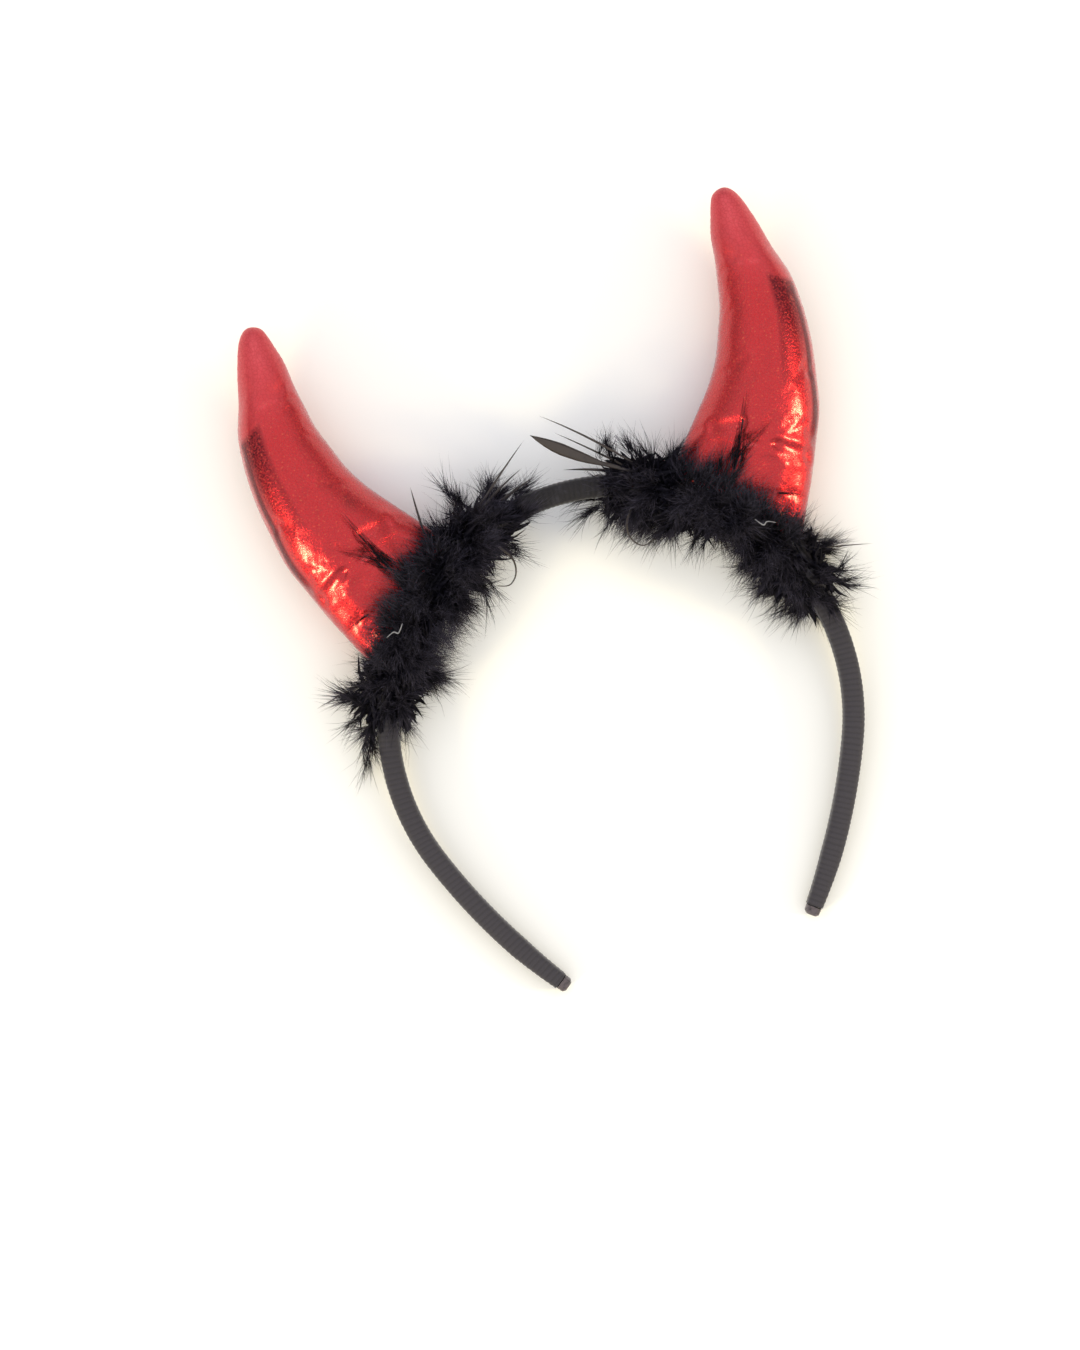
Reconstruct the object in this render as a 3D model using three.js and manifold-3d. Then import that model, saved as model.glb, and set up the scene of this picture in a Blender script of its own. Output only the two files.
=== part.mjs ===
// Devil horns headband: a hair band wound with ribbon, two padded horns and a feather trim round each
// horn's foot. Millimetres. It lies on its side: X runs across the head, Y from the ends of the band
// towards the tips of the horns, and Z is up. The origin is at the bottom centre of its box.
import * as THREE from 'three';
import { mergeVertices } from 'three/addons/utils/BufferGeometryUtils.js';
import Module from 'manifold-3d';

const wasm = await Module();
wasm.setup();

// Hair band
const CROWN_RADIUS = 66.8;
const CROWN_SWEEP = 111;
const LEG_RADIUS = 180;
const LEG_LENGTH = 52.9;
const BAND_WIDTH = 9.2;
const BAND_THICKNESS = 6.4;
const RIBBON_WALL = 1.2;
const TIP_LENGTH = 2.8;
const TIP_INSET = 0.25;
const TIP_CHAMFER = 0.6;

// Horns
const HORN_ANGLE = 45;
const HORN_RISE = 76.2;
const HORN_LEAN = 47.5;
const HORN_WIDTH = 42;
const HORN_DEPTH = 26;
const HORN_TIP = 0.5;
const FOLD_WIDTH = 2.8;
const FOLD_DEPTH = 1.4;

// Feather trim
const TRIM_LENGTH = 68;
const TRIM_SHIFT = 1.5;
const TRIM_REACH = 17;
const TRIM_BACKING = 4;
const TUFT_RADIUS = 10;
const LOCK_LENGTH = 7.5;
const LOCK_RADIUS = 2.6;
const LOCK_BEND = 2.4;
const QUILL_RADIUS = 1.1;
const QUILL_BOW = 3;

// Gap kept between pieces
const CLEARANCE = 0.3;

// Fineness of the faceted surfaces
const BAND_SIDES = 12;
const BAND_STEPS = 39;
const BAND_SQUARENESS = 0.55;
const HORN_SIDES = 18;
const HORN_STEPS = 24;
const TUFT_DETAIL = 1;
const LOCK_SIDES = 3;
const BACKING_STEPS = 6;
const LOCK_COUNT = 3;

// How the locks of a tuft stand: they fan out over SPREAD degrees, each turned by up to TWIST degrees
// from its place in the fan and longer or shorter by up to VARY of LOCK_LENGTH, leaning along the band
// by up to STRAY. A lock keeps its full breadth up to the KNEE share of its length.
const LOCK_SPREAD = 150;
const LOCK_TWIST = 17;
const LOCK_VARY = 0.25;
const LOCK_STRAY = 0.5;
const LOCK_KNEE = 0.7;
const TUFT_PHASE = 2.5;
const LOCK_PHASE = 1.7;

// Half breadths of a quill from its root towards its point, as shares of QUILL_RADIUS
const QUILL_TAPER = [0.9, 1, 1, 0.7];

// Taper of the band: at is the share of the half length from the top, the others are shares of
// BAND_THICKNESS and BAND_WIDTH
const BAND_TAPER = [
  { at: 0, thickness: 1, width: 1 },
  { at: 0.55, thickness: 0.98, width: 0.96 },
  { at: 0.9, thickness: 0.96, width: 0.8 },
  { at: 1, thickness: 0.74, width: 0.7 },
];

// Sections of a horn from its foot to its tip: rise, lean, width and depth are shares of the horn's
// sizes, turn is how far the outer edge is turned up, in degrees
const HORN_SECTIONS = [
  { rise: -0.06, lean: 0, turn: 3, width: 1, depth: 0.66 },
  { rise: 0.03, lean: 0.02, turn: 2, width: 0.99, depth: 0.72 },
  { rise: 0.12, lean: 0.05, turn: 0, width: 0.96, depth: 0.84 },
  { rise: 0.21, lean: 0.08, turn: -1, width: 0.92, depth: 0.93 },
  { rise: 0.33, lean: 0.13, turn: 0, width: 0.85, depth: 0.99 },
  { rise: 0.44, lean: 0.19, turn: 3, width: 0.8, depth: 1 },
  { rise: 0.54, lean: 0.28, turn: 6, width: 0.74, depth: 0.97 },
  { rise: 0.64, lean: 0.38, turn: 10, width: 0.67, depth: 0.92 },
  { rise: 0.73, lean: 0.5, turn: 15, width: 0.6, depth: 0.86 },
  { rise: 0.8, lean: 0.61, turn: 18, width: 0.53, depth: 0.79 },
  { rise: 0.86, lean: 0.74, turn: 22, width: 0.42, depth: 0.68 },
  { rise: 0.92, lean: 0.85, turn: 31, width: 0.31, depth: 0.53 },
  { rise: 0.97, lean: 0.94, turn: 35, width: 0.21, depth: 0.36 },
  { rise: 1, lean: 1, turn: 38, width: 0.09, depth: 0.15 },
];

// Folds pressed into both faces of a horn above its foot: across is the share of the half width, from
// the inner edge at -1 to the outer edge at 1, rise the share of HORN_RISE, deep the share of FOLD_DEPTH
const HORN_FOLDS = [
  { across: -0.62, rise: 0.21, toAcross: 0.5, toRise: 0.27, deep: 1 },
  { across: 0.05, rise: 0.02, toAcross: -0.12, toRise: 0.2, deep: 0.8 },
  { across: 0.3, rise: 0.05, toAcross: 0.68, toRise: 0.2, deep: 0.7 },
  { across: -0.35, rise: 0.03, toAcross: -0.6, toRise: 0.14, deep: 0.6 },
];

// Tufts of the trim: along is the share of half TRIM_LENGTH from its middle, negative towards the top
// of the band, out and up are shares of TRIM_REACH from the band's middle line, size that of TUFT_RADIUS
const TUFTS = [
  { along: -0.82, out: 0.14, up: 0.08, size: 0.82 },
  { along: -0.56, out: -0.38, up: 0.1, size: 1 },
  { along: -0.64, out: 0.46, up: 0.14, size: 0.9 },
  { along: -0.22, out: -0.44, up: 0.06, size: 1.06 },
  { along: -0.3, out: 0.12, up: 0.38, size: 0.88 },
  { along: -0.18, out: 0.1, up: -0.26, size: 0.86 },
  { along: 0.12, out: -0.16, up: 0.3, size: 0.94 },
  { along: 0.3, out: 0.1, up: -0.26, size: 0.86 },
  { along: 0.46, out: -0.34, up: 0.06, size: 0.94 },
  { along: 0.46, out: 0.18, up: 0.34, size: 0.76 },
  { along: 0.74, out: -0.12, up: 0.04, size: 0.86 },
  { along: 0.7, out: 0.46, up: 0.06, size: 0.8 },
  { along: 0.94, out: 0.12, up: 0.02, size: 0.72 },
];

// Long quills: each runs from its root in a tuft to its tip, placed as the tufts are; broad is the
// share of QUILL_RADIUS across the quill, bow the share of QUILL_BOW that it bends outwards
const QUILLS_RIGHT = [
  { along: -0.8, out: 0.3, up: 0.2, toAlong: -1.46, toOut: 1.36, toUp: 0.3, broad: 0.8, bow: 0.7 },
  { along: -0.8, out: 0.2, up: 0.2, toAlong: -1.55, toOut: 1.1, toUp: 0.4, broad: 1.6, bow: -0.6 },
  { along: -0.8, out: 0.25, up: 0.1, toAlong: -1.4, toOut: 1.03, toUp: 0.1, broad: 0.7, bow: 0.2 },
  { along: -0.8, out: 0.15, up: 0.1, toAlong: -1.4, toOut: 0.38, toUp: 0.1, broad: 0.8, bow: 0.5 },
  { along: 0.75, out: 0.4, up: 0.1, toAlong: 0.96, toOut: 1.24, toUp: 0.05, broad: 1.2, bow: 0.2 },
];
const QUILLS_LEFT = [
  { along: -0.8, out: 0.25, up: 0.2, toAlong: -1.41, toOut: 1.05, toUp: 0.3, broad: 0.8, bow: 0.2 },
  { along: -0.8, out: 0.15, up: 0.1, toAlong: -1.42, toOut: 0.42, toUp: 0.2, broad: 0.8, bow: 0.4 },
  { along: -0.75, out: -0.3, up: 0.1, toAlong: -1.16, toOut: -0.34, toUp: 0.15, broad: 0.7, bow: -0.4 },
  { along: 0.75, out: 0.4, up: 0.1, toAlong: 0.96, toOut: 1.2, toUp: 0.05, broad: 1.2, bow: 0.2 },
];

const PLASTIC = { color: 0x4a434c, roughness: 0.45, metalness: 0 };
const RIBBON = { color: 0x2b282c, roughness: 0.8, metalness: 0 };
const FOIL = { color: 0xc4161c, roughness: 0.3, metalness: 0.8 };
const FEATHER = { color: 0x1d1a1f, roughness: 0.9, metalness: 0 };

const UP = new THREE.Vector3(0, 0, 1);

// Lengths along the band's middle line, measured from its top
const CROWN_LENGTH = CROWN_RADIUS * THREE.MathUtils.degToRad(CROWN_SWEEP);
const HALF_LENGTH = CROWN_LENGTH + LEG_LENGTH;
const RIBBON_END = HALF_LENGTH - TIP_LENGTH;
const HORN_PLACE = CROWN_RADIUS * THREE.MathUtils.degToRad(HORN_ANGLE);
const TRIM_PLACE = HORN_PLACE - TRIM_SHIFT;
const FLOOR_SIZE = 4 * (CROWN_RADIUS + HORN_RISE);

// Closed surface through rings of points. Ends are capped flat, or a tip closes the last ring, or the
// last ring joins the first one round a hollow.
function skin(rings, { hollow = false, tip = null } = {}) {
  const sides = rings[0].length;
  const points = rings.flat();
  const faces = [];
  const bands = hollow ? rings.length : rings.length - 1;
  for (let ring = 0; ring < bands; ring += 1) {
    const here = ring * sides;
    const there = ((ring + 1) % rings.length) * sides;
    for (let side = 0; side < sides; side += 1) {
      const next = (side + 1) % sides;
      faces.push(here + side, here + next, there + next, here + side, there + next, there + side);
    }
  }
  if (!hollow) {
    const last = (rings.length - 1) * sides;
    const first = points.push(middle(rings[0])) - 1;
    const end = points.push(tip ?? middle(rings[rings.length - 1])) - 1;
    for (let side = 0; side < sides; side += 1) {
      const next = (side + 1) % sides;
      faces.push(first, next, side, end, last + side, last + next);
    }
  }
  const geometry = new THREE.BufferGeometry().setFromPoints(points);
  geometry.setIndex(faces);
  return geometry;
}

function middle(ring) {
  const sum = new THREE.Vector3();
  ring.forEach((point) => sum.add(point));
  return sum.divideScalar(ring.length);
}

// Value of each named column of a table at a place between its rows
function between(rows, key, place) {
  const after = Math.max(1, rows.findIndex((row) => row[key] >= place));
  const [low, high] = [rows[after - 1], rows[after]];
  const share = (place - low[key]) / (high[key] - low[key]);
  const mix = {};
  for (const name of Object.keys(low)) mix[name] = THREE.MathUtils.lerp(low[name], high[name], share);
  return mix;
}

// Smooth curve through a table's rows, read as an object of its named columns
function smoothRows(rows, share) {
  const names = Object.keys(rows[0]);
  const scaled = share * (rows.length - 1);
  const start = Math.min(Math.floor(scaled), rows.length - 2);
  const row = {};
  for (const name of names) {
    const around = [start - 1, start, start + 1, start + 2].map(
      (index) => rows[THREE.MathUtils.clamp(index, 0, rows.length - 1)][name],
    );
    const curve = new THREE.CatmullRomCurve3(
      around.map((value, index) => new THREE.Vector3(value, index, 0)),
      false,
      'catmullrom',
    );
    row[name] = curve.getPoint((1 + scaled - start) / (around.length - 1)).x;
  }
  return row;
}

// Solids for cutting and joining
function toSolid(geometry) {
  const bare = geometry.clone();
  bare.deleteAttribute('normal');
  bare.deleteAttribute('uv');
  const merged = mergeVertices(bare);
  const mesh = new wasm.Mesh({
    numProp: 3,
    vertProperties: merged.attributes.position.array,
    triVerts: new Uint32Array(merged.index.array),
  });
  return new wasm.Manifold(mesh);
}

function toGeometry(solid) {
  const mesh = solid.getMesh();
  const geometry = new THREE.BufferGeometry();
  geometry.setAttribute('position', new THREE.BufferAttribute(mesh.vertProperties, mesh.numProp));
  geometry.setIndex(new THREE.BufferAttribute(mesh.triVerts, 1));
  return geometry;
}

// Largest closed surface of a solid, without loose crumbs and sealed hollows
function largest(solid) {
  const surfaces = toSolid(toGeometry(solid)).decompose();
  return surfaces.reduce((most, surface) => (surface.volume() > most.volume() ? surface : most));
}

function mirrored(geometry) {
  const copy = geometry.clone().scale(-1, 1, 1);
  const index = copy.index.array;
  for (let corner = 0; corner < index.length; corner += 3) {
    [index[corner], index[corner + 1]] = [index[corner + 1], index[corner]];
  }
  return copy;
}

// Place on the band's middle line, with the direction away from the head
function bandStation(distance) {
  const side = distance < 0 ? -1 : 1;
  const run = Math.abs(distance);
  const crownRun = Math.min(run, CROWN_LENGTH);
  const bend = crownRun / CROWN_RADIUS;
  const turn = bend + (run - crownRun) / LEG_RADIUS;
  const x = CROWN_RADIUS * Math.sin(bend) + LEG_RADIUS * (Math.sin(turn) - Math.sin(bend));
  const y = CROWN_RADIUS * Math.cos(bend) + LEG_RADIUS * (Math.cos(turn) - Math.cos(bend));
  return {
    centre: new THREE.Vector3(side * x, y, 0),
    out: new THREE.Vector3(side * Math.sin(turn), Math.cos(turn), 0),
  };
}

function besideBand(distance, out, up) {
  const { centre, out: away } = bandStation(distance);
  return centre.addScaledVector(away, out).addScaledVector(UP, up);
}

function bandHalf(distance) {
  const row = between(BAND_TAPER, 'at', Math.abs(distance) / HALF_LENGTH);
  return { thickness: (row.thickness * BAND_THICKNESS) / 2, width: (row.width * BAND_WIDTH) / 2 };
}

// Ring round the band, drawn in from its outer surface, with a flat side facing the head
function bandRing(distance, inset) {
  const { centre, out } = bandStation(distance);
  const half = bandHalf(distance);
  const ring = [];
  for (let side = 0; side < BAND_SIDES; side += 1) {
    const angle = (2 * Math.PI * (side + 0.5)) / BAND_SIDES;
    const [across, up] = [Math.cos(angle), Math.sin(angle)];
    const reach = Math.sign(across) * Math.abs(across) ** BAND_SQUARENESS * (half.thickness - inset);
    const rise = Math.sign(up) * Math.abs(up) ** BAND_SQUARENESS * (half.width - inset);
    ring.push(centre.clone().addScaledVector(out, reach).addScaledVector(UP, rise));
  }
  return ring;
}

function bandRings(inset) {
  const rings = [];
  for (let step = 0; step <= BAND_STEPS; step += 1) {
    rings.push(bandRing(RIBBON_END * ((2 * step) / BAND_STEPS - 1), inset));
  }
  return rings;
}

// Ribbon wound round the strip: a wall that is open at both ends
function ribbonWrap() {
  return skin([...bandRings(0), ...bandRings(RIBBON_WALL).reverse()], { hollow: true });
}

// Plastic strip, whose blunt ends swell to the ribbon's size past its last turn
function bandCore() {
  const inset = RIBBON_WALL + CLEARANCE;
  const end = [
    bandRing(RIBBON_END + CLEARANCE, inset),
    bandRing(RIBBON_END + CLEARANCE, TIP_INSET),
    bandRing(HALF_LENGTH - TIP_CHAMFER, TIP_INSET),
    bandRing(HALF_LENGTH, TIP_INSET + TIP_CHAMFER),
  ];
  const start = [
    bandRing(-HALF_LENGTH, TIP_INSET + TIP_CHAMFER),
    bandRing(-HALF_LENGTH + TIP_CHAMFER, TIP_INSET),
    bandRing(-RIBBON_END - CLEARANCE, TIP_INSET),
    bandRing(-RIBBON_END - CLEARANCE, inset),
  ];
  return skin([...start, ...bandRings(inset), ...end]);
}

// Outer form of the whole band, grown by the gap that its neighbours keep
function bandSpace() {
  return toSolid(skin(bandRings(-CLEARANCE)));
}

// Middle, directions and half sizes of one horn section
function hornSection(share) {
  const row = smoothRows(HORN_SECTIONS, share);
  const { centre, out } = bandStation(HORN_PLACE);
  const down = new THREE.Vector3(out.y, -out.x, 0);
  const turn = THREE.MathUtils.degToRad(row.turn);
  const height = BAND_THICKNESS / 2 + CLEARANCE + row.rise * HORN_RISE;
  return {
    rise: row.rise,
    out,
    middle: centre.addScaledVector(out, height).addScaledVector(down, -row.lean * HORN_LEAN),
    across: down.clone().multiplyScalar(Math.cos(turn)).addScaledVector(out, Math.sin(turn)),
    halfWidth: (row.width * HORN_WIDTH) / 2,
    halfDepth: (row.depth * HORN_DEPTH) / 2,
  };
}

// How far the folds press in at one place of a horn's face
function foldDepth(across, rise, halfWidth) {
  const here = new THREE.Vector3(across * halfWidth, rise * HORN_RISE, 0);
  let pressed = 0;
  for (const fold of HORN_FOLDS) {
    const line = new THREE.Line3(
      new THREE.Vector3(fold.across * halfWidth, fold.rise * HORN_RISE, 0),
      new THREE.Vector3(fold.toAcross * halfWidth, fold.toRise * HORN_RISE, 0),
    );
    const nearest = line.closestPointToPoint(here, true, new THREE.Vector3());
    pressed += fold.deep * FOLD_DEPTH * Math.exp(-((nearest.distanceTo(here) / FOLD_WIDTH) ** 2));
  }
  return pressed;
}

// Horn as its padded outer form: two faces that meet at a seam along the inner and the outer edge
function hornForm(grow) {
  const rings = [];
  for (let step = 0; step < HORN_STEPS; step += 1) {
    const section = hornSection(step / (HORN_STEPS - 1));
    if (step === 0) section.middle.addScaledVector(section.out, -grow);
    const ring = [];
    for (let side = 0; side < HORN_SIDES; side += 1) {
      const angle = (-2 * Math.PI * side) / HORN_SIDES;
      const across = Math.cos(angle);
      const face = Math.sin(angle);
      const fold = foldDepth(across, section.rise, section.halfWidth) * face;
      ring.push(
        section.middle
          .clone()
          .addScaledVector(section.across, across * (section.halfWidth + grow))
          .addScaledVector(UP, face * (section.halfDepth + grow) - fold),
      );
    }
    rings.push(ring);
  }
  const last = hornSection(1);
  const before = hornSection(1 - 1 / HORN_STEPS);
  const tip = last.middle.clone().sub(before.middle).setLength(HORN_TIP + grow).add(last.middle);
  return toSolid(skin(rings, { tip }));
}

function horn() {
  return toGeometry(hornForm(0).subtract(bandSpace()));
}

// Angle at which the object lies: it rests on the ribbon's ends and on the fullest part of the horns
function lyingAngle() {
  const end = bandStation(RIBBON_END).centre.y;
  const low = bandHalf(RIBBON_END).width;
  const angles = [];
  for (let step = 0; step < HORN_STEPS; step += 1) {
    const section = hornSection(step / (HORN_STEPS - 1));
    angles.push(Math.atan2(section.halfDepth - low, section.middle.y - end));
  }
  return Math.max(...angles);
}

// Surface that the object lies on, as a block under it
function floorBlock(angle) {
  const block = new THREE.BoxGeometry(FLOOR_SIZE, FLOOR_SIZE, FLOOR_SIZE);
  block.translate(0, 0, -FLOOR_SIZE / 2).rotateX(-angle);
  const end = bandStation(RIBBON_END).centre;
  return toSolid(block.translate(0, end.y, -bandHalf(RIBBON_END).width));
}

// Tapered strand along a curve, coming to a point, broad times as wide as it is thick
function strand(curve, radii, broad = 1) {
  const rings = radii.map((radius, index) => {
    const share = index / radii.length;
    const along = curve.getTangent(share);
    const side = new THREE.Vector3().crossVectors(along, UP).normalize();
    const over = new THREE.Vector3().crossVectors(side, along);
    const ring = [];
    for (let corner = 0; corner < LOCK_SIDES; corner += 1) {
      const angle = (-2 * Math.PI * corner) / LOCK_SIDES;
      ring.push(
        curve
          .getPoint(share)
          .addScaledVector(side, Math.cos(angle) * radius * broad)
          .addScaledVector(over, Math.sin(angle) * radius),
      );
    }
    return ring;
  });
  return toSolid(skin(rings, { tip: curve.getPoint(1) }));
}

function tuftCentre(tuft) {
  const distance = TRIM_PLACE + (tuft.along * TRIM_LENGTH) / 2;
  return besideBand(distance, tuft.out * TRIM_REACH, tuft.up * TRIM_REACH);
}

// Locks that stand out of one tuft, fanned round its direction away from the band
function tuftLocks(tuft, index) {
  const locks = [];
  const centre = tuftCentre(tuft);
  const { out } = bandStation(TRIM_PLACE + (tuft.along * TRIM_LENGTH) / 2);
  const down = new THREE.Vector3(out.y, -out.x, 0);
  const facing = Math.atan2(tuft.up, tuft.out);
  for (let lock = 0; lock < LOCK_COUNT; lock += 1) {
    const phase = index * TUFT_PHASE + lock * LOCK_PHASE;
    const wobble = Math.sin(phase);
    const fan = LOCK_SPREAD * ((lock + 0.5) / LOCK_COUNT - 0.5) + LOCK_TWIST * wobble;
    const angle = facing + THREE.MathUtils.degToRad(fan);
    const stray = tuft.along + LOCK_STRAY * Math.cos(phase);
    const aim = new THREE.Vector3()
      .addScaledVector(out, Math.cos(angle))
      .addScaledVector(UP, Math.sin(angle))
      .addScaledVector(down, stray)
      .normalize();
    const length = tuft.size * TUFT_RADIUS + LOCK_LENGTH * (1 + LOCK_VARY * wobble);
    const end = centre.clone().addScaledVector(aim, length);
    const knee = centre.clone().lerp(end, LOCK_KNEE).addScaledVector(down, LOCK_BEND * wobble);
    const curve = new THREE.QuadraticBezierCurve3(centre, knee, end);
    locks.push(strand(curve, [LOCK_RADIUS, LOCK_RADIUS]));
  }
  return locks;
}

function quill(row) {
  const root = tuftCentre(row);
  const end = tuftCentre({ along: row.toAlong, out: row.toOut, up: row.toUp });
  const { out } = bandStation(TRIM_PLACE + (row.along * TRIM_LENGTH) / 2);
  const knee = root.clone().lerp(end, 0.5).addScaledVector(out, row.bow * QUILL_BOW);
  const curve = new THREE.QuadraticBezierCurve3(root, knee, end);
  return strand(curve, QUILL_TAPER.map((share) => share * QUILL_RADIUS), row.broad);
}

// Backing that the feathers are gathered on, round the band under the horn
function backing() {
  const rings = [];
  for (let step = 0; step <= BACKING_STEPS; step += 1) {
    const distance = TRIM_PLACE + TRIM_LENGTH * (step / BACKING_STEPS - 0.5);
    rings.push(bandRing(distance, -TRIM_BACKING));
  }
  return toSolid(skin(rings));
}

// Feather trim: tufts, locks and quills grown together on their backing, hollow where the band and the
// horn pass through, and pressed flat where it lies on the floor
function trim(quills) {
  let feathers = backing();
  TUFTS.forEach((tuft, index) => {
    const radius = tuft.size * TUFT_RADIUS;
    const { x, y, z } = tuftCentre(tuft);
    const ball = new THREE.IcosahedronGeometry(radius, TUFT_DETAIL).rotateZ(index).translate(x, y, z);
    feathers = feathers.add(toSolid(ball));
    for (const lock of tuftLocks(tuft, index)) feathers = feathers.add(lock);
  });
  for (const row of quills) feathers = feathers.add(quill(row));
  const cut = feathers.subtract(hornForm(CLEARANCE)).subtract(bandSpace());
  return toGeometry(largest(cut.subtract(floorBlock(LYING_ANGLE))));
}

function piece(name, geometry, finish) {
  const faceted = geometry.toNonIndexed();
  faceted.computeVertexNormals();
  const mesh = new THREE.Mesh(faceted, new THREE.MeshStandardMaterial(finish));
  mesh.name = name;
  return mesh;
}

const LYING_ANGLE = lyingAngle();

const headband = new THREE.Group();
headband.rotation.x = LYING_ANGLE;
headband.add(piece('band_core', bandCore(), PLASTIC));
headband.add(piece('ribbon_wrap', ribbonWrap(), RIBBON));
headband.add(piece('horn_right', horn(), FOIL));
headband.add(piece('horn_left', mirrored(horn()), FOIL));
headband.add(piece('marabou_right', trim(QUILLS_RIGHT), FEATHER));
headband.add(piece('marabou_left', mirrored(trim(QUILLS_LEFT)), FEATHER));

// The object is set down with the bottom centre of its box at the origin
const standing = new THREE.Group();
standing.add(headband);
standing.updateMatrixWorld(true);
const box = new THREE.Box3().setFromObject(standing, true);
headband.position.set(-(box.min.x + box.max.x) / 2, -(box.min.y + box.max.y) / 2, -box.min.z);

export default standing;
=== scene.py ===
# Devil horns headband: the wound ribbon, the padded horns and the feather trims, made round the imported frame.
# Sizes and tables of the object are in millimetres in the plane of the band, with the middle of its top curve
# at the origin. seat() puts them, in metres, where the object lies.
import math

import bpy
import numpy as np
from bpy.props import FloatProperty, FloatVectorProperty, IntProperty, PointerProperty
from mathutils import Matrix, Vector


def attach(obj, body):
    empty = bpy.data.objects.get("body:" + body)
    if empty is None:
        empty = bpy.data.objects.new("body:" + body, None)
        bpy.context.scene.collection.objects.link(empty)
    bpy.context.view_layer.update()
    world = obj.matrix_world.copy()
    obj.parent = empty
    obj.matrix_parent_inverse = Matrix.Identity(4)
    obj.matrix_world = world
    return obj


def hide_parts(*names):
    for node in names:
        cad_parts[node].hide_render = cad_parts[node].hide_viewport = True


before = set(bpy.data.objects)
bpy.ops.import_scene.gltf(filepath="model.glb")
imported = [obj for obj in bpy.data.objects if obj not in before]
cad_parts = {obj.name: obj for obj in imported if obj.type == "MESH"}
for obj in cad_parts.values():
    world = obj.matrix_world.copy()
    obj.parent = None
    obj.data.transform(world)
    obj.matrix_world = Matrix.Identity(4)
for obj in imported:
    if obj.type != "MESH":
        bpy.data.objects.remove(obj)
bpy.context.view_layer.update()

bl_info = {
    "name": "Devil horns headband",
    "version": (1, 0, 0),
    "blender": (4, 5, 0),
    "location": "View3D > Sidebar > Headband",
    "description": "Makes the ribbon, horns and feather trims of a devil horns headband",
    "category": "Object",
}


def table(columns, *rows):
    """Rows of a table, each with the names of its columns."""
    return [dict(zip(columns.split(), row)) for row in rows]


MM = 0.001
BODY = "root"

# How the object lies: tilt in degrees, and the place of the band's crown centre
LYING_TILT = 3.9302
LYING_PLACE = np.array([-0.12454, -33.33751, 7.91815])

# Hair band
CROWN_RADIUS = 66.8
CROWN_SWEEP = math.radians(111)
LEG_RADIUS = 180.0
LEG_LENGTH = 52.9
BAND_WIDTH = 9.2
BAND_THICKNESS = 6.4
RIBBON_WALL = 1.2
TIP_LENGTH = 2.8
BAND_SQUARENESS = 0.55
CROWN_LENGTH = CROWN_RADIUS * CROWN_SWEEP
HALF_LENGTH = CROWN_LENGTH + LEG_LENGTH
RIBBON_END = HALF_LENGTH - TIP_LENGTH
CLEARANCE = 0.3

# Horns
HORN_PLACE = CROWN_RADIUS * math.radians(45)
HORN_RISE = 76.2
HORN_LEAN = 47.5
HORN_WIDTH = 42.0
HORN_DEPTH = 26.0
HORN_BASE = BAND_THICKNESS / 2 + CLEARANCE

# Taper of the band: share of the half length, thickness and width as shares of the band's
BAND_TAPER = {
    "at": (0, 0.55, 0.9, 1),
    "thickness": (1, 0.98, 0.96, 0.74),
    "width": (1, 0.96, 0.8, 0.7),
}

# Sections of a horn from its foot to its tip, in shares of its sizes, with turn in degrees
HORN_SECTIONS = table(
    "rise lean turn width depth",
    (-0.06, 0, 3, 1, 0.66),
    (0.03, 0.02, 2, 0.99, 0.72),
    (0.12, 0.05, 0, 0.96, 0.84),
    (0.21, 0.08, -1, 0.92, 0.93),
    (0.33, 0.13, 0, 0.85, 0.99),
    (0.44, 0.19, 3, 0.8, 1),
    (0.54, 0.28, 6, 0.74, 0.97),
    (0.64, 0.38, 10, 0.67, 0.92),
    (0.73, 0.5, 15, 0.6, 0.86),
    (0.8, 0.61, 18, 0.53, 0.79),
    (0.86, 0.74, 22, 0.42, 0.68),
    (0.92, 0.85, 31, 0.31, 0.53),
    (0.97, 0.94, 35, 0.21, 0.36),
    (1, 1, 38, 0.09, 0.15),
)

# Creases pressed into both faces of a horn: across from the inner edge at -1 to the outer edge at 1, rise as
# a share of HORN_RISE, deep and broad in millimetres
HORN_CREASES = table(
    "across rise to_across to_rise deep broad",
    (-0.72, 0.2, -0.34, 0.262, 0.75, 1.5),
    (-0.22, 0.215, 0.3, 0.258, 0.65, 1.3),
    (0.3, 0.258, 0.84, 0.284, 0.85, 1.3),
    (0.4, 0.232, 0.86, 0.262, 0.5, 1.1),
    (0.14, 0.33, -0.2, 0.2, 0.45, 1.7),
    (0.68, 0.06, 0.72, 0.215, 0.5, 2.6),
    (0.3, 0.02, 0.26, 0.18, 0.5, 2.8),
    (-0.5, 0.02, -0.6, 0.15, 0.5, 2.6),
)

# Reach of the feathers from the band's middle line, at places along the band: away from the head, towards the
# head on either side, and up
FEATHER_REACH = {
    "at": (13, 17, 22, 30, 38, 46, 52, 57, 62, 68, 75, 81, 86, 90),
    "out": (7, 13, 16, 15.5, 15, 15, 14, 14, 14, 14, 16, 17, 14, 8),
    "in_right": (6, 12, 15, 18, 18.5, 17, 13, 9.5, 12, 16, 18, 17, 12, 7),
    "in_left": (6, 12, 15, 18, 18.5, 17, 13, 10.5, 13, 17, 18.5, 17, 12, 7),
    "up": (6, 10, 13, 14.5, 15, 15.5, 15.5, 15.5, 15.5, 15, 14, 12, 10, 7),
}

# How far up the horn's faces the feathers lie, at places along the band
HORN_COVER = {
    "at": (28, 34, 37, 40, 43, 44.5, 46, 48, 51.3, 56, 59.7, 62.7, 65.6, 68, 70, 76),
    "reach": (9, 12, 11.5, 10.9, 13, 17, 16, 13, 9.6, 10.8, 12.7, 10, 7.2, 7.5, 9, 12),
}

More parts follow.
